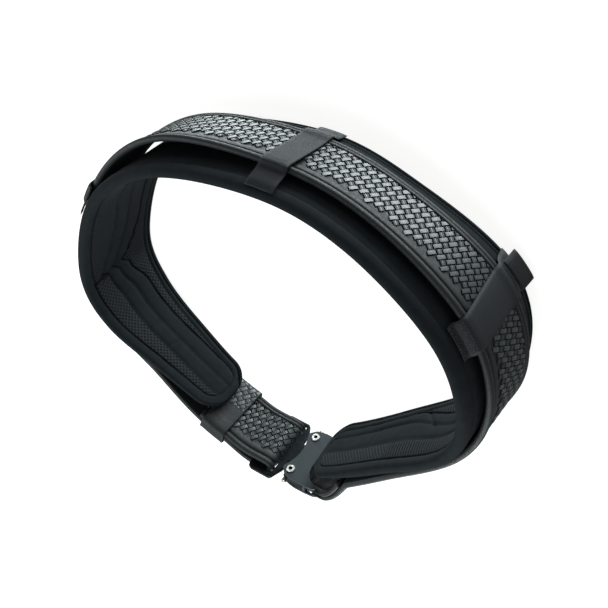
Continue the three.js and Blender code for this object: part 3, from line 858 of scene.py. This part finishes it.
def liner_section(station, sizes):
    """Closed section of the liner at a station: (off, v) from the outer face over the top."""
    half, thin = station["half"], station["thin"]
    scale = half / PAD_HALF
    ridge = sizes.ridge / MM
    s, (top, upper, valley, lower, bottom) = ridge_seams(station, sizes.rim / MM)
    rim_top = [(off, v * scale) for off, v in RIM]
    rim_low = [(off, -v) for off, v in reversed(rim_top)]
    rim_foot = RIM[0][1] * scale
    seam = half - min(10.0, half * 0.4)
    outer = [(PAD_THICK, half * 0.84), (PAD_THICK, seam + 0.8), (PAD_THICK - 1, seam),
             (OUTER_FACE, seam - 0.8)]
    face = outer + line((OUTER_FACE, seam - 0.8), (OUTER_FACE, 0.8 - seam), 12)
    face += [(off, -v) for off, v in reversed(outer)]

    def quilt(high, low):
        """A padded stretch between two seams."""
        swell = ridge * (0.9 + 0.1 * noise.noise(Vector((s / 9, high, 3.0))))
        points = []
        for i in range(1, RIDGE_POINTS):
            share = i / RIDGE_POINTS
            dome = sqrt(max(0.0, 1 - (2 * share - 1) ** 2)) ** 0.8
            points.append((RIDGE_BASE - swell * dome, mix(high, low, share)))
        return points

    def bed(high, low):
        """The flat stretch that a net lies in."""
        ends = (NET_BED, high - 0.6), (NET_BED, low + 0.6)
        return [ends[0], *line(*ends, 5), ends[1]]

    inner = [(0.85, mix(top + 1.6, rim_foot, 0.5)), (1.3, top + 0.9), (SEAM_BED, top)]
    inner += bed(top, upper) + [(SEAM_BED, upper)] + quilt(upper, valley)
    inner += [(SEAM_BED - 0.1, valley)] + quilt(valley, lower) + [(SEAM_BED, lower)]
    inner += bed(lower, bottom) + [(SEAM_BED, bottom), (1.3, bottom - 0.9)]
    inner += [(0.85, mix(bottom - 1.6, -rim_foot, 0.5))]
    past_seam = station["to_end"] - END_SEAM
    groove = CLOTH["groove"] * exp(-(past_seam / CLOTH["groove_wide"]) ** 2)
    section = []
    for off, v in inner:
        wrinkle = CLOTH["wrinkle"] * noise.noise(Vector((s / 11, v / 16, 0.5)))
        off = mix(1.0, off, smooth(past_seam / 3.0)) + (groove if abs(v) < top else 0.0)
        section.append((off + creases(s, v) + wrinkle * min(1.0, station["to_end"] / 20), v))
    section += rim_low
    for off, v in reversed(face):
        section.append((off + CLOTH["wave"] * noise.noise(Vector((s / 25, v / 18, 7.0))), v))
    section += list(reversed(rim_top))
    tip = 1 - min(station["to_end"] / TIP["round"], 1.0)
    full = mix(TIP["share"], 1.0, sqrt(1 - tip * tip))
    section = [(mix(PAD_THICK / 2, off, full) * thin, v) for off, v in section]
    return section + section[:1]


def build_liner(sizes, material):
    """The padded band, from its binding to its two quilted ridges."""
    steps = 460
    stations = [liner_station(j / steps) for j in range(steps + 1)]
    sections = [liner_section(station, sizes) for station in stations]
    bm = loft(len(sections[0]) - 1, steps,
              lambda i, j: on_wall(stations[j]["wall"], *sections[j][i]),
              lambda i, j: (stations[j]["s"], sections[j][i][1]))
    piece = finish_piece("liner", bm, material, "belt", ["liner_pad"])


def net_height(s, v, pitch):
    """Height share of the net at a place: a diamond net in front, slanting ribs at the back."""
    def crest(phase):
        return max(0.0, 0.5 + 0.5 * cos(2 * pi * phase)) ** 1.6
    diamonds = max(crest((s + v) / (pitch * sqrt(2))), crest((s - v) / (pitch * sqrt(2))))
    ribs = crest((s + 0.35 * v) / (pitch * 1.15))
    into, left = s - RIBBED_NET["from"], RIBBED_NET["to"] - s
    behind = smooth(into / RIBBED_NET["blend"]) * smooth(left / RIBBED_NET["blend"])
    return mix(diamonds, ribs, behind)


def build_nets(sizes, material):
    """Two strips of spacer mesh let into the inner face, above and below the ridges."""
    steps, columns, under = 1250, 22, 3
    first, last = 0.012, 0.988              # shares of the liner's length where they end
    inset, base, side, bottom = 0.7, 1.5, 1.9, 2.2
    net, depth = sizes.net / MM, sizes.net_relief / MM
    for name, seams in (("upper", (0, 1)), ("lower", (3, 4))):
        strip = []
        for j in range(steps + 1):
            station = liner_station(mix(first, last, j / steps))
            s, knots = ridge_seams(station, sizes.rim / MM)
            strip.append((station, s, knots[seams[0]] - inset, knots[seams[1]] + inset))

        def spot(i, j):
            """Place in the strip's section: the face, then back along its underside."""
            i %= columns + under
            _, s, high, low = strip[j]
            if i > columns:
                return bottom, mix(low, high, (i - columns) / under), 0.0
            share = i / columns
            v = mix(high, low, share)
            edge = min(share, 1 - share) * (high - low)
            rise = net_height(s, v, net) * smooth(edge / 1.2)
            bulge = 0.5 * smooth(edge / 6)
            off = base - bulge - depth * rise + creases(s, v)
            return off if 0 < i < columns else side, v, rise

        def point(i, j):
            off, v, _ = spot(i, j)
            return on_wall(strip[j][0]["wall"], off * strip[j][0]["thin"], v)

        bm = loft(columns + under, steps, point,
                  lambda i, j: (strip[j][1], spot(i, j)[1]), lambda i, j: spot(i, j)[2])
        finish_piece(f"liner_net_{name}", bm, material, "belt",
                     [f"liner_mesh_{name}"])


# Webbing keepers

# The folded tab hangs past the belt's lower edge: (off, v) from the belt there
TAB = {"width": 25.4, "thick": 3.5, "hang": ((7.3, -2.9), (8.1, -7.2), (8.9, -12), (9.8, -16.6))}


def web_path(wall, top, thick):
    """The keeper's line over the belt: (reach from the liner's inner face, height).

    It is sewn down above the belt, stands out over the belt's piping, runs down its face, turns
    in under it and is sewn down again.
    """
    on_liner = PAD_THICK + 2 * CLEAR + thick / 2
    over = CLEAR + thick / 2
    scale = wall.half / PAD_HALF
    crest, foot = wall.lift + BELT_HALF, wall.lift - BELT_HALF
    return [
        (on_liner - max(0, top - 43) * 0.3, top * scale),
        (on_liner, (top - 2.5) * scale),
        (on_liner + 1.4, (top - 5) * scale),
        (wall.high + 3, crest + 3),
        (wall.high + 5.6 + over, crest + 0.2),
        (wall.high + 6.2 + over, crest - 4),
        (wall.high + 5.8 + over, crest - 10),
        (wall.low + 5.2 + over, foot + 9),
        (wall.low + 5.8 + over, foot + 3),
        (wall.low + 5.2 + over, foot - 0.5),
        (wall.low + 2.5, foot - 4.5),
        (on_liner + 0.6, foot - 9.5),
        (on_liner, -42 * scale),
        (on_liner - 1, -47 * scale),
    ]


def sampled(points, step):
    """Points, normals and lengths at an even pitch along a smooth line through points."""
    fine = 24
    rows = [Vector(p) for p in points]
    rows = [2 * rows[0] - rows[1], *rows, 2 * rows[-1] - rows[-2]]
    dense = []
    for p0, p1, p2, p3 in zip(rows, rows[1:], rows[2:], rows[3:]):
        c0, c1, c2, c3 = spline_parts(p0, p1, p2, p3, even=False)
        dense += [c0 + c1 * w + c2 * w * w + c3 * w ** 3 for w in (k / fine for k in range(fine))]
    dense.append(rows[-2])
    at = lengths_along(dense)
    count = ceil(at[-1] / step)
    made = []
    for k in range(count + 1):
        length = at[-1] * k / count
        i = min(max(bisect_right(at, length) - 1, 0), len(dense) - 2)
        here = dense[i].lerp(dense[i + 1], (length - at[i]) / (at[i + 1] - at[i]))
        tangent = (dense[min(i + 2, len(dense) - 1)] - dense[max(i - 1, 0)]).normalized()
        made.append((here, Vector((-tangent.y, tangent.x)), length))
    return made


def web_place(web, across, off, v):
    """A point of a keeper: across is the share of its width, from -0.5 to 0.5."""
    drop = 0.5 - v / (2 * PAD_HALF)
    return place(web["s"] + across * web["width"] / (1 + off * web["bend"]) + web["slant"] * drop,
                 off, v)


def bend_at(s):
    """How strongly the loop curves at a place, for a piece that lies outside it."""
    reach = 12
    return wall_at(s - reach).tangent.angle(wall_at(s + reach).tangent) / (2 * reach)


def build_ribbon(name, web, path, thick, rib, material, node):
    """A webbing strip along a path, with weft ribs in its faces and rounded edges."""
    samples = sampled(path, rib / 3)
    columns, relief, rounding = 9, 0.22, 1.6
    edge_share, end_share = 0.45, 0.4       # of the thickness left at the edges and at the ends
    spots = [(mix(-0.5, 0.5, i / columns), 1) for i in range(columns + 1)]
    spots += [(mix(0.5, -0.5, i / columns), -1) for i in range(columns + 1)]
    spots.append(spots[0])
    last = len(samples) - 1

    def height(i, j):
        return 0.5 + 0.5 * cos(2 * pi * samples[j][2] / rib)

    def point(i, j):
        across, side = spots[i]
        here, normal, _ = samples[j]
        edge = smooth((0.5 - abs(across)) * web["width"] / rounding)
        end = min(1.0, end_share + min(j, last - j) / 4)
        ribbed = thick / 2 - relief + relief * height(i, j)
        grown = ribbed * mix(edge_share, 1.0, edge) * end
        spot = here + normal * side * grown
        return web_place(web, across, spot.x, spot.y)

    bm = loft(len(spots) - 1, last, point,
              lambda i, j: (samples[j][2], spots[i][0] * web["width"]), height)
    finish_piece(name, bm, material, "belt", [node])


def add_stitches(name, web, path, sizes, material):
    """Rows of short stitches across the sewn end of a keeper."""
    first, pitch, step = 1.0, 1.5, 0.2
    count, reach = 9, 0.42
    size = Matrix.Diagonal((sizes.stitch / MM / 2, 0.28, 0.35, 1))
    bm = bmesh.new()
    samples = sampled(path, step)
    for row in range(sizes.stitch_rows):
        here, normal, _ = samples[min(round((first + row * pitch) / step), len(samples) - 1)]
        side = -1 if normal.x < 0 else 1
        spot = here + normal * side * (sizes.thick / MM / 2)
        for k in range(count):
            across = mix(-reach, reach, (k + 0.5 * (row % 2)) / count)
            middle = web_place(web, across, spot.x, spot.y)
            ahead = web_place(web, across + 0.02, spot.x, spot.y) - middle
            turn = ahead.to_track_quat("X", "Z").to_matrix().to_4x4()
            made = bmesh.ops.create_icosphere(bm, subdivisions=1, radius=1)["verts"]
            bmesh.ops.transform(bm, matrix=Matrix.Translation(middle) @ turn @ size, verts=made)
    finish_piece(name, bm, material, "belt", [])


def build_webbing(sizes, material, thread):
    """The three keepers and the pull tab under the left one."""
    thick, rib = sizes.thick / MM, sizes.rib / MM
    left, right = station_at("keeper left") + 12, station_at("keeper right") - 16
    webs = (
        {"name": "back", "s": 3.0, "slant": 0.0, "top": 48, "width": 25.4},
        {"name": "left", "s": left, "slant": -12.0, "top": 38, "width": 31.0},
        {"name": "right", "s": right, "slant": 0.0, "top": 46, "width": 27.0},
    )
    for web in webs:
        web["bend"] = bend_at(web["s"])
        path = web_path(wall_at(web["s"]), web["top"], thick)
        name = "keeper_web_" + web["name"]
        build_ribbon("webbing_" + web["name"], web, path, thick, rib, material, name)
        if web["name"] == "left":
            add_stitches("webbing_stitches", web, path, sizes, thread)
    web = dict(webs[1], width=TAB["width"])
    wall = wall_at(web["s"])
    foot = wall.lift - BELT_HALF
    tab = [(wall.low + off, foot + v) for off, v in TAB["hang"]]
    build_ribbon("tab", web, tab, TAB["thick"], rib, material, "pull_tab")


# Keeper loop

def loop_ring():
    """Points and normals round the keeper loop's inner side, from the middle of the belt's face
    down round the lower edge, up the body side and back."""
    loose, corner = LOOP_BAND["loose"], LOOP_BAND["corner"]
    inside = -LAYER_PITCH - BELT_CREST - loose
    outside = BELT_CREST + loose
    high = BELT_HALF + loose
    ring = []

    def edge(a, b, normal, steps):
        ring.extend((Vector(p), Vector(normal)) for p in [a] + line(a, b, steps))

    def bend(x, y, start):
        for k in range(1, 6):
            a = radians(start - 90 * k / 6)
            way = Vector((cos(a), sin(a)))
            ring.append((Vector((x + corner * way.x, y + corner * way.y)), way))

    edge((outside, 0), (outside, corner - high), (1, 0), 12)
    bend(outside - corner, corner - high, 0)
    edge((outside - corner, -high), (inside + corner, -high), (0, -1), 3)
    bend(inside + corner, corner - high, -90)
    edge((inside, corner - high), (inside, high - corner), (-1, 0), 24)
    bend(inside + corner, high - corner, 180)
    edge((inside + corner, high), (outside - corner, high), (0, 1), 3)
    bend(outside - corner, high - corner, 90)
    edge((outside, high - corner), (outside, 0), (1, 0), 12)
    return ring, lengths_along([spot for spot, _ in ring])


def loop_place(d, x, y):
    """A point x outward from the middle of the belt's outer layer and y above it."""
    row = layer_row(d, 1)
    return row.middle + row.facing * x + row.up * y


def build_loop(leather, woven):
    """The loop's band, its overlapped plain half and its woven half."""
    ring, at = loop_ring()
    start, end, thick = LOOP_BAND["from"], LOOP_BAND["to"], LOOP_BAND["wall"]
    width = end - start
    field, weave_relief = 0.7, 0.5     # the woven field's share of the wall, and its relief
    plain_from, lap = 0.62, 0.25       # share of the way round where the plain end laps over
    hem = [(0.0, 0.0), (0.0, 0.6), (0.25, 0.76), (0.8, 0.82), (1.3, 0.8), (1.7, 0.72),
           (3.4, field)]
    section = hem + [(w, field) for w in (8, 12.5, 17)]
    section += [(width - w, rise) for w, rise in reversed(hem)] + [(width * 0.5, 0.0), (0.0, 0.0)]

    def point(i, j):
        spot, normal = ring[j % len(ring)]
        across, rise = section[i]
        plain = smooth((at[j] - plain_from * at[-1]) / 0.6) if j < len(ring) else 0.0
        over = lap * plain if rise > 0 else 0.0
        grown = spot + normal * (thick * rise + over)
        return loop_place(start + across, grown.x, grown.y)

    bm = loft(len(section) - 1, len(ring), point)
    finish_piece("loop_band", bm, leather, "belt", ["keeper_loop"])

    edge = 1.3
    bm = weave_sheet(edge, width - edge, 1.0, 0.5 * at[-1], ragged=False)
    trim(bm, ((edge, 0, 0), (width - edge, 0, 0)), (1, 0, 0))
    for vert in bm.verts:
        along = min(max(vert.co.y, 0.0), at[-1] - 1e-6)
        i = bisect_right(at, along) - 1
        share = (along - at[i]) / (at[i + 1] - at[i])
        spot = ring[i][0].lerp(ring[i + 1][0], share)
        normal = ring[i][1].lerp(ring[i + 1][1], share)
        grown = spot + normal * (thick * field + weave_relief * vert.co.z)
        vert.co = loop_place(start + vert.co.x, grown.x, grown.y)
    piece = finish_piece("loop_weave", bm, woven, "belt", [])
    sharpen(piece, WEAVE_EDGE)


# Buckle

def mirrored(half):
    """An outline from its half above the buckle's middle line."""
    return list(half) + [(x, -y) for x, y in reversed(half)]


def plate_outline():
    """The plates' outline: a hollow waist between two lobes, and two rear lugs round the pin."""
    waist, depth, half_waist = 2.8, 4.8, 18.5
    radius = (half_waist ** 2 + depth ** 2) / (2 * depth)
    rows = [half_waist * (k + 0.5) / 8 for k in range(8)]
    half = [(waist + radius - sqrt(radius ** 2 - y * y), y) for y in rows]
    half += [(7.7, 18.8), (8.2, 20.6), (7.2, 22.8), (3, 27.4), (-2, 28.8), (-8, 29.6), (-20, 29.4)]
    half += [(-28.5, 28.6), (-31.8, 27.4), (-32.8, 25.8), (-31.8, 24.2), (-27, 22.8), (-21, 19.4)]
    half += [(-17.2, 14), (-15.6, 7)]
    return mirrored(half)


# Outlines on the buckle's own axes. The core and the tongue are given above the middle line only,
# and the lever is the upper one.
CORE_HALF = ((-12.6, 11.6), (4, 11.6), (6, 15), (7.2, 20), (6, 22), (4.5, 23.5), (-4, 23.5),
             (-9, 21.8), (-14, 18.5), (-22.2, 18.5))
TONGUE_HALF = ((-12, 9.5), (-10.5, 11), (9.2, 11), (9.9, 22.6), (15.2, 35.4), (16.6, 36.2),
               (37, 36.2), (40, 35), (41.2, 32))
TONGUE_LOW_TRIM = 4.0     # how much shorter the frame stands out under the belt
SCREW = {"y": 20.5, "head": 4.0, "shank": 1.9, "stands": 1.3, "rounding": 0.5, "socket_deep": 1.1}
LEVER_ARM = ((-21.6, 21.8), (-19.5, 20.7), (-16.5, 21.4), (-12.5, 24.2), (4, 26.2), (4.4, 27.2),
             (3.4, 28.3), (-4, 28.6), (-12, 29.6), (-19.5, 30), (-21.8, 27.5), (-22.3, 24.5))


def round_off(bm, edges, offset, segments):
    """Bevel edges to a round of so many segments."""
    bmesh.ops.bevel(bm, geom=edges, offset=offset, offset_type="OFFSET", segments=segments,
                    profile=0.5, affect="EDGES", material=-1, clamp_overlap=True)


def slab(loops, thick, z, edge, corner=0.0):
    """A flat piece of the buckle from its outline and windows, with rounded edges."""
    bm = bmesh.new()
    edges = []
    for loop in loops:
        verts = [bm.verts.new((x, y, z)) for x, y in loop]
        edges += [bm.edges.new((a, b)) for a, b in zip(verts, verts[1:] + verts[:1])]
    if len(loops) == 1:
        bmesh.ops.contextual_create(bm, geom=edges)
    else:
        bmesh.ops.triangle_fill(bm, edges=edges, use_beauty=True)
    made = bmesh.ops.extrude_face_region(bm, geom=list(bm.faces))["geom"]
    lifted = [item for item in made if isinstance(item, bmesh.types.BMVert)]
    bmesh.ops.translate(bm, vec=(0, 0, thick), verts=lifted)
    bmesh.ops.recalc_face_normals(bm, faces=bm.faces)
    if corner:
        upright = [e for e in bm.edges if abs(e.verts[0].co.z - e.verts[1].co.z) > thick / 2
                   and e.calc_face_angle(0) > radians(12)]
        round_off(bm, upright, corner, 4)
    rim = [e for e in bm.edges if e.calc_face_angle(0) > radians(60)
           and abs(e.verts[0].co.z - e.verts[1].co.z) < thick / 4]
    round_off(bm, rim, edge, 3)
    return bm


def turned(profile, sides):
    """A round piece from its profile of radius and length along y."""
    bm = bmesh.new()
    verts = [bm.verts.new((radius, length, 0)) for radius, length in profile]
    edges = [bm.edges.new(pair) for pair in zip(verts, verts[1:])]
    bmesh.ops.spin(bm, geom=verts + edges, cent=(0, 0, 0), axis=(0, 1, 0), angle=2 * pi,
                   steps=sides, use_merge=True)
    bmesh.ops.remove_doubles(bm, verts=bm.verts, dist=0.001)
    return bm


def buckle_piece(name, bm, material, body, nodes):
    """Set a piece that is modelled on the buckle's own axes into the belt."""
    bmesh.ops.transform(bm, matrix=BUCKLE, verts=bm.verts)
    piece = finish_piece(name, bm, material, body, nodes)
    sharpen(piece)
    return piece


def build_plates(sizes, plate, black):
    """The two satin plates and the blackened core between them."""
    edge, corner = sizes.edge / MM, sizes.corner / MM
    for name, z in (("inner", PLATE_GAP / 2), ("outer", -PLATE_GAP / 2 - PLATE_THICK)):
        bm = slab([plate_outline()], PLATE_THICK, z, edge, corner)
        buckle_piece(f"plate_{name}", bm, plate, "belt", [f"buckle_plate_{name}"])
    thick = PLATE_GAP - 0.6
    bm = slab([mirrored(CORE_HALF)], thick, -thick / 2, 0.4)
    buckle_piece("core", bm, black, "belt", ["buckle_core"])


def build_tongue(black):
    """The tongue and the frame that the belt's tail is looped through."""
    thick, half = 4.4, BELT_HALF + 0.9
    by_belt = BAR["x"] - BAR["turn"] - BELT_THICK / 2 - CLEAR
    by_piping = BAR["x"] - BAR["turn"] - BELT_CREST - 0.6
    bar_from, bar_to = BAR["x"] - BAR["half"], BAR["x"] + BAR["half"]
    outline = [(x, y if y > -half else y + TONGUE_LOW_TRIM) for x, y in mirrored(TONGUE_HALF)]
    near_window = [(by_belt, 18.6), (by_piping, 20.4), (by_piping, half), (bar_from, half)]
    far_window = [(bar_to, half - 0.4), (35.0, half - 0.4)]
    loops = [outline, mirrored(near_window), mirrored(far_window)]
    bm = slab(loops, thick, -thick / 2, 0.6)
    buckle_piece("tongue", bm, black, "belt", ["tongue_frame"])


def build_screws(sizes, steel, socket_painted_shade):
    """Two socket screws whose round heads stand on the body side plate, with painted shade in
    their sockets.
    """
    face = PLATE_GAP / 2 + PLATE_THICK
    top, rounding = face + CLEAR + SCREW["stands"], SCREW["rounding"]
    radius, socket_radius = SCREW["head"] - rounding, sizes.socket / MM / 2
    head_moves = ((rounding, -rounding), (0.0, -0.9))
    socket_moves = ((0.0, -SCREW["socket_deep"]),)
    for name, side in (("top", 1), ("bottom", -1)):
        bm = bmesh.new()
        head = bmesh.ops.create_circle(bm, segments=40, radius=radius)["verts"]
        socket = bmesh.ops.create_circle(bm, segments=6, radius=socket_radius)["verts"]
        groups = set(head), set(socket)
        rings = [[e for e in bm.edges if e.verts[0] in group] for group in groups]
        bmesh.ops.triangle_fill(bm, edges=rings[0] + rings[1], use_beauty=True)
        for ring, moves in zip(rings, (head_moves, socket_moves)):
            for grow, drop in moves:
                made = bmesh.ops.extrude_edge_only(bm, edges=ring)["geom"]
                verts = [item for item in made if isinstance(item, bmesh.types.BMVert)]
                ring = [item for item in made if isinstance(item, bmesh.types.BMEdge)]
                size = (radius + grow) / radius
                bmesh.ops.scale(bm, vec=(size, size, 1), verts=verts)
                bmesh.ops.translate(bm, vec=(0, 0, drop), verts=verts)
        close_rims(bm)
        # The socket's walls and floor take the second, dark material: painted shade inside the
        # socket
        for wall in bm.faces:
            reach = max(hypot(vert.co.x, vert.co.y) for vert in wall.verts)
            wall.material_index = 1 if reach < socket_radius + 0.01 else 0
        shank = bmesh.ops.create_cone(bm, cap_ends=True, segments=24, radius1=SCREW["shank"],
                                      radius2=SCREW["shank"], depth=2 * face)["verts"]
        bmesh.ops.translate(bm, vec=(0, 0, -top), verts=shank)
        bmesh.ops.translate(bm, vec=(0, side * SCREW["y"], top), verts=bm.verts)
        piece = buckle_piece(f"socket_screw_{name}", bm, steel, "belt",
                             [f"screw_{name}"])
        piece.data.materials.append(socket_painted_shade)


def build_pin(steel):
    """The pin that the belt's rear end turns round."""
    half, radius = PIN["half"], PIN["radius"]
    bm = turned([(0, -half), (radius - 0.5, -half), (radius - 0.15, 0.15 - half),
                 (radius, 0.5 - half), (radius, half - 0.5), (radius - 0.15, half - 0.15),
                 (radius - 0.5, half), (0, half)], 28)
    bmesh.ops.translate(bm, vec=(PIN["x"], 0, 0), verts=bm.verts)
    buckle_piece("pin", bm, steel, "belt", ["rear_pin"])


def build_levers(black, nickel):
    """The two release levers and the buttons on them, each pair on its own moving body."""
    thick, button_x = 8.6, 1.6
    radius, foot, top = 2.5, 28.8, 32.6
    dome = radius * 0.4
    angles = [k * pi / 12 for k in range(6)]
    crown = [(radius * cos(a), top - dome + dome * sin(a)) for a in angles]
    for end, side in (("top", 1), ("bottom", -1)):
        outline = [(x, side * y) for x, y in LEVER_ARM]
        bm = slab([outline], thick, -thick / 2, 0.5)
        buckle_piece(f"lever_{end}_arm", bm, black, f"lever_{end}",
                     [f"release_lever_{end}"])
        bm = turned([(0, foot), (radius, foot), *crown, (0, top)], 32)
        bmesh.ops.scale(bm, vec=(1, side, 1), verts=bm.verts)
        bmesh.ops.translate(bm, vec=(button_x, 0, 0), verts=bm.verts)
        buckle_piece(f"button_{end}", bm, nickel, f"lever_{end}",
                     [f"release_button_{end}"])


# Stage

# Places and sizes are in millimetres
CAMERA = {"target": (25.5, 31.15, 50.0), "azimuth": 147.0, "elevation": 35.0,
          "distance": 1050.0, "lens": 75.2, "roll": -134.0}
LIGHT_COLUMNS = ("name", "at", "aim", "wide", "high", "watts")
LIGHTS = (
    ("low panel", (40, 950, -900), (0, 60, 50), 1100, 460, 35.0),
    ("low side panel", (-830, 335, -940), (-60, 60, 50), 620, 460, 10.5),
    ("top box", (-200, -500, 1900), (0, 0, 40), 1500, 1500, 34.0),
    ("side box", (-1300, -300, 700), (0, 0, 40), 500, 900, 7.0),
    ("front box", (300, -1500, 520), (0, -100, 50), 1100, 500, 16.0),
)
LIGHT_COLOUR = (0.9, 0.98, 1.0)
WORLD_LIGHT = 0.3
FLOOR_REACH = 16.0     # metres from the floor's middle to its edges


def build_camera():
    """The photograph's view: a long lens from behind the left hip, rolled far over."""
    azimuth, elevation, roll = (radians(CAMERA[k]) for k in ("azimuth", "elevation", "roll"))
    back = Vector((sin(azimuth) * cos(elevation), -cos(azimuth) * cos(elevation), sin(elevation)))
    right = Vector((0, 0, 1)).cross(back).normalized()
    up = back.cross(right)
    turned_right = right * cos(roll) + up * sin(roll)
    turned_up = up * cos(roll) - right * sin(roll)
    camera = bpy.data.objects.new("camera", bpy.data.cameras.new("camera"))
    camera.data.lens = CAMERA["lens"]
    camera.data.sensor_width = 36.0
    turn = Matrix((turned_right, turned_up, back)).transposed().to_4x4()
    spot = (Vector(CAMERA["target"]) + back * CAMERA["distance"]) * MM
    camera.matrix_world = Matrix.Translation(spot) @ turn
    bpy.context.scene.collection.objects.link(camera)
    bpy.context.scene.camera = camera


def build_stage(colours):
    """A light table, which lets the low panel through, under large soft lights."""
    bm = bmesh.new()
    bmesh.ops.create_grid(bm, x_segments=1, y_segments=1, size=FLOOR_REACH)
    mesh = bpy.data.meshes.new("floor")
    bm.to_mesh(mesh)
    bm.free()
    mesh.materials.append(floor_material(colours.floor))
    floor_card = bpy.data.objects.new("floor", mesh)
    bpy.context.scene.collection.objects.link(floor_card)
    floor_card.visible_shadow = False
    floor_card.visible_glossy = False
    for values in LIGHTS:
        row = dict(zip(LIGHT_COLUMNS, values))
        light = bpy.data.lights.new(row["name"], "AREA")
        light.shape = "RECTANGLE"
        light.size, light.size_y = row["wide"] * MM, row["high"] * MM
        light.energy = row["watts"]
        light.color = LIGHT_COLOUR
        lamp = bpy.data.objects.new(row["name"], light)
        way = Vector(row["at"]) - Vector(row["aim"])
        turn = way.to_track_quat("Z", "Y").to_matrix().to_4x4()
        lamp.matrix_world = Matrix.Translation(Vector(row["at"]) * MM) @ turn
        lamp.visible_camera = False
        bpy.context.scene.collection.objects.link(lamp)
    world = bpy.context.scene.world or bpy.data.worlds.new("studio")
    bpy.context.scene.world = world
    world.use_nodes = True
    sky = world.node_tree.nodes["Background"].inputs
    sky["Color"].default_value = (1, 1, 1, 1)
    sky["Strength"].default_value = WORLD_LIGHT
    bpy.context.scene.view_settings.view_transform = "Standard"


# Operators

class DUTYBELT_OT_stage(bpy.types.Operator):
    """Set up the camera, the floor and the studio lights"""
    bl_idname = "dutybelt.stage"
    bl_label = "Stage"

    def execute(self, context):
        build_camera()
        build_stage(context.scene.dutybelt_colours)
        return {"FINISHED"}


class DUTYBELT_OT_strap(bpy.types.Operator):
    """Model the leather strap and its basketweave"""
    bl_idname = "dutybelt.strap"
    bl_label = "Strap"

    def execute(self, context):
        sizes, colours = context.scene.dutybelt_strap, context.scene.dutybelt_colours
        build_strap(sizes, leather_material(colours.leather))
        build_weave(sizes, weave_material(colours.leather))
        return {"FINISHED"}


class DUTYBELT_OT_liner(bpy.types.Operator):
    """Model the padded liner and its mesh panels"""
    bl_idname = "dutybelt.liner"
    bl_label = "Liner"

    def execute(self, context):
        sizes, colours = context.scene.dutybelt_liner, context.scene.dutybelt_colours
        build_liner(sizes, knit_material(colours.liner))
        build_nets(sizes, net_material(colours.net))
        return {"FINISHED"}


class DUTYBELT_OT_webbing(bpy.types.Operator):
    """Model the three webbing keepers, their stitches and the pull tab"""
    bl_idname = "dutybelt.webbing"
    bl_label = "Webbing"

    def execute(self, context):
        colours = context.scene.dutybelt_colours
        thread = thread_material(colours.thread)
        build_webbing(context.scene.dutybelt_webbing, webbing_material(colours.webbing), thread)
        return {"FINISHED"}


class DUTYBELT_OT_loop(bpy.types.Operator):
    """Model the leather loop that holds the tail"""
    bl_idname = "dutybelt.loop"
    bl_label = "Keeper Loop"

    def execute(self, context):
        colours = context.scene.dutybelt_colours
        build_loop(leather_material(colours.leather), weave_material(colours.leather))
        return {"FINISHED"}


class DUTYBELT_OT_buckle(bpy.types.Operator):
    """Model the buckle's plates, tongue, screws and pin"""
    bl_idname = "dutybelt.buckle"
    bl_label = "Buckle"

    def execute(self, context):
        sizes, colours = context.scene.dutybelt_buckle, context.scene.dutybelt_colours
        black = black_steel(colours)
        steel = metal_material("polished_steel", colours.steel, rough=0.36, wear=0.08)
        build_plates(sizes, plate_material(colours.plate), black)
        build_tongue(black)
        build_screws(sizes, steel, black)
        build_pin(steel)
        return {"FINISHED"}


class DUTYBELT_OT_levers(bpy.types.Operator):
    """Model the two release levers and their buttons"""
    bl_idname = "dutybelt.levers"
    bl_label = "Release Levers"

    def execute(self, context):
        colours = context.scene.dutybelt_colours
        nickel = metal_material("nickel_silver", colours.nickel, rough=0.3, wear=0.1)
        build_levers(black_steel(colours), nickel)
        return {"FINISHED"}


class DUTYBELT_PT_panel(bpy.types.Panel):
    """Buttons for every piece of the belt"""
    bl_idname = "DUTYBELT_PT_panel"
    bl_label = "Duty Belt"
    bl_space_type = "VIEW_3D"
    bl_region_type = "UI"
    bl_category = "Duty Belt"

    def draw(self, context):
        for made in OPERATORS:
            self.layout.operator(made.bl_idname)


OPERATORS = (DUTYBELT_OT_stage, DUTYBELT_OT_strap, DUTYBELT_OT_liner, DUTYBELT_OT_webbing,
             DUTYBELT_OT_loop, DUTYBELT_OT_buckle, DUTYBELT_OT_levers)
GROUPS = {"dutybelt_strap": StrapSizes, "dutybelt_liner": LinerSizes,
          "dutybelt_webbing": WebbingSizes, "dutybelt_buckle": BuckleSizes,
          "dutybelt_colours": Colours}


def register():
    for made in (*GROUPS.values(), *OPERATORS, DUTYBELT_PT_panel):
        bpy.utils.register_class(made)
    for name, group in GROUPS.items():
        setattr(bpy.types.Scene, name, PointerProperty(type=group))


def unregister():
    for name in GROUPS:
        delattr(bpy.types.Scene, name)
    for made in (DUTYBELT_PT_panel, *reversed(OPERATORS), *GROUPS.values()):
        bpy.utils.unregister_class(made)


def main():
    """Model the whole belt."""
    register()
    for made in OPERATORS:
        group, name = made.bl_idname.split(".")
        getattr(getattr(bpy.ops, group), name)()


if __name__ == "__main__":
    main()
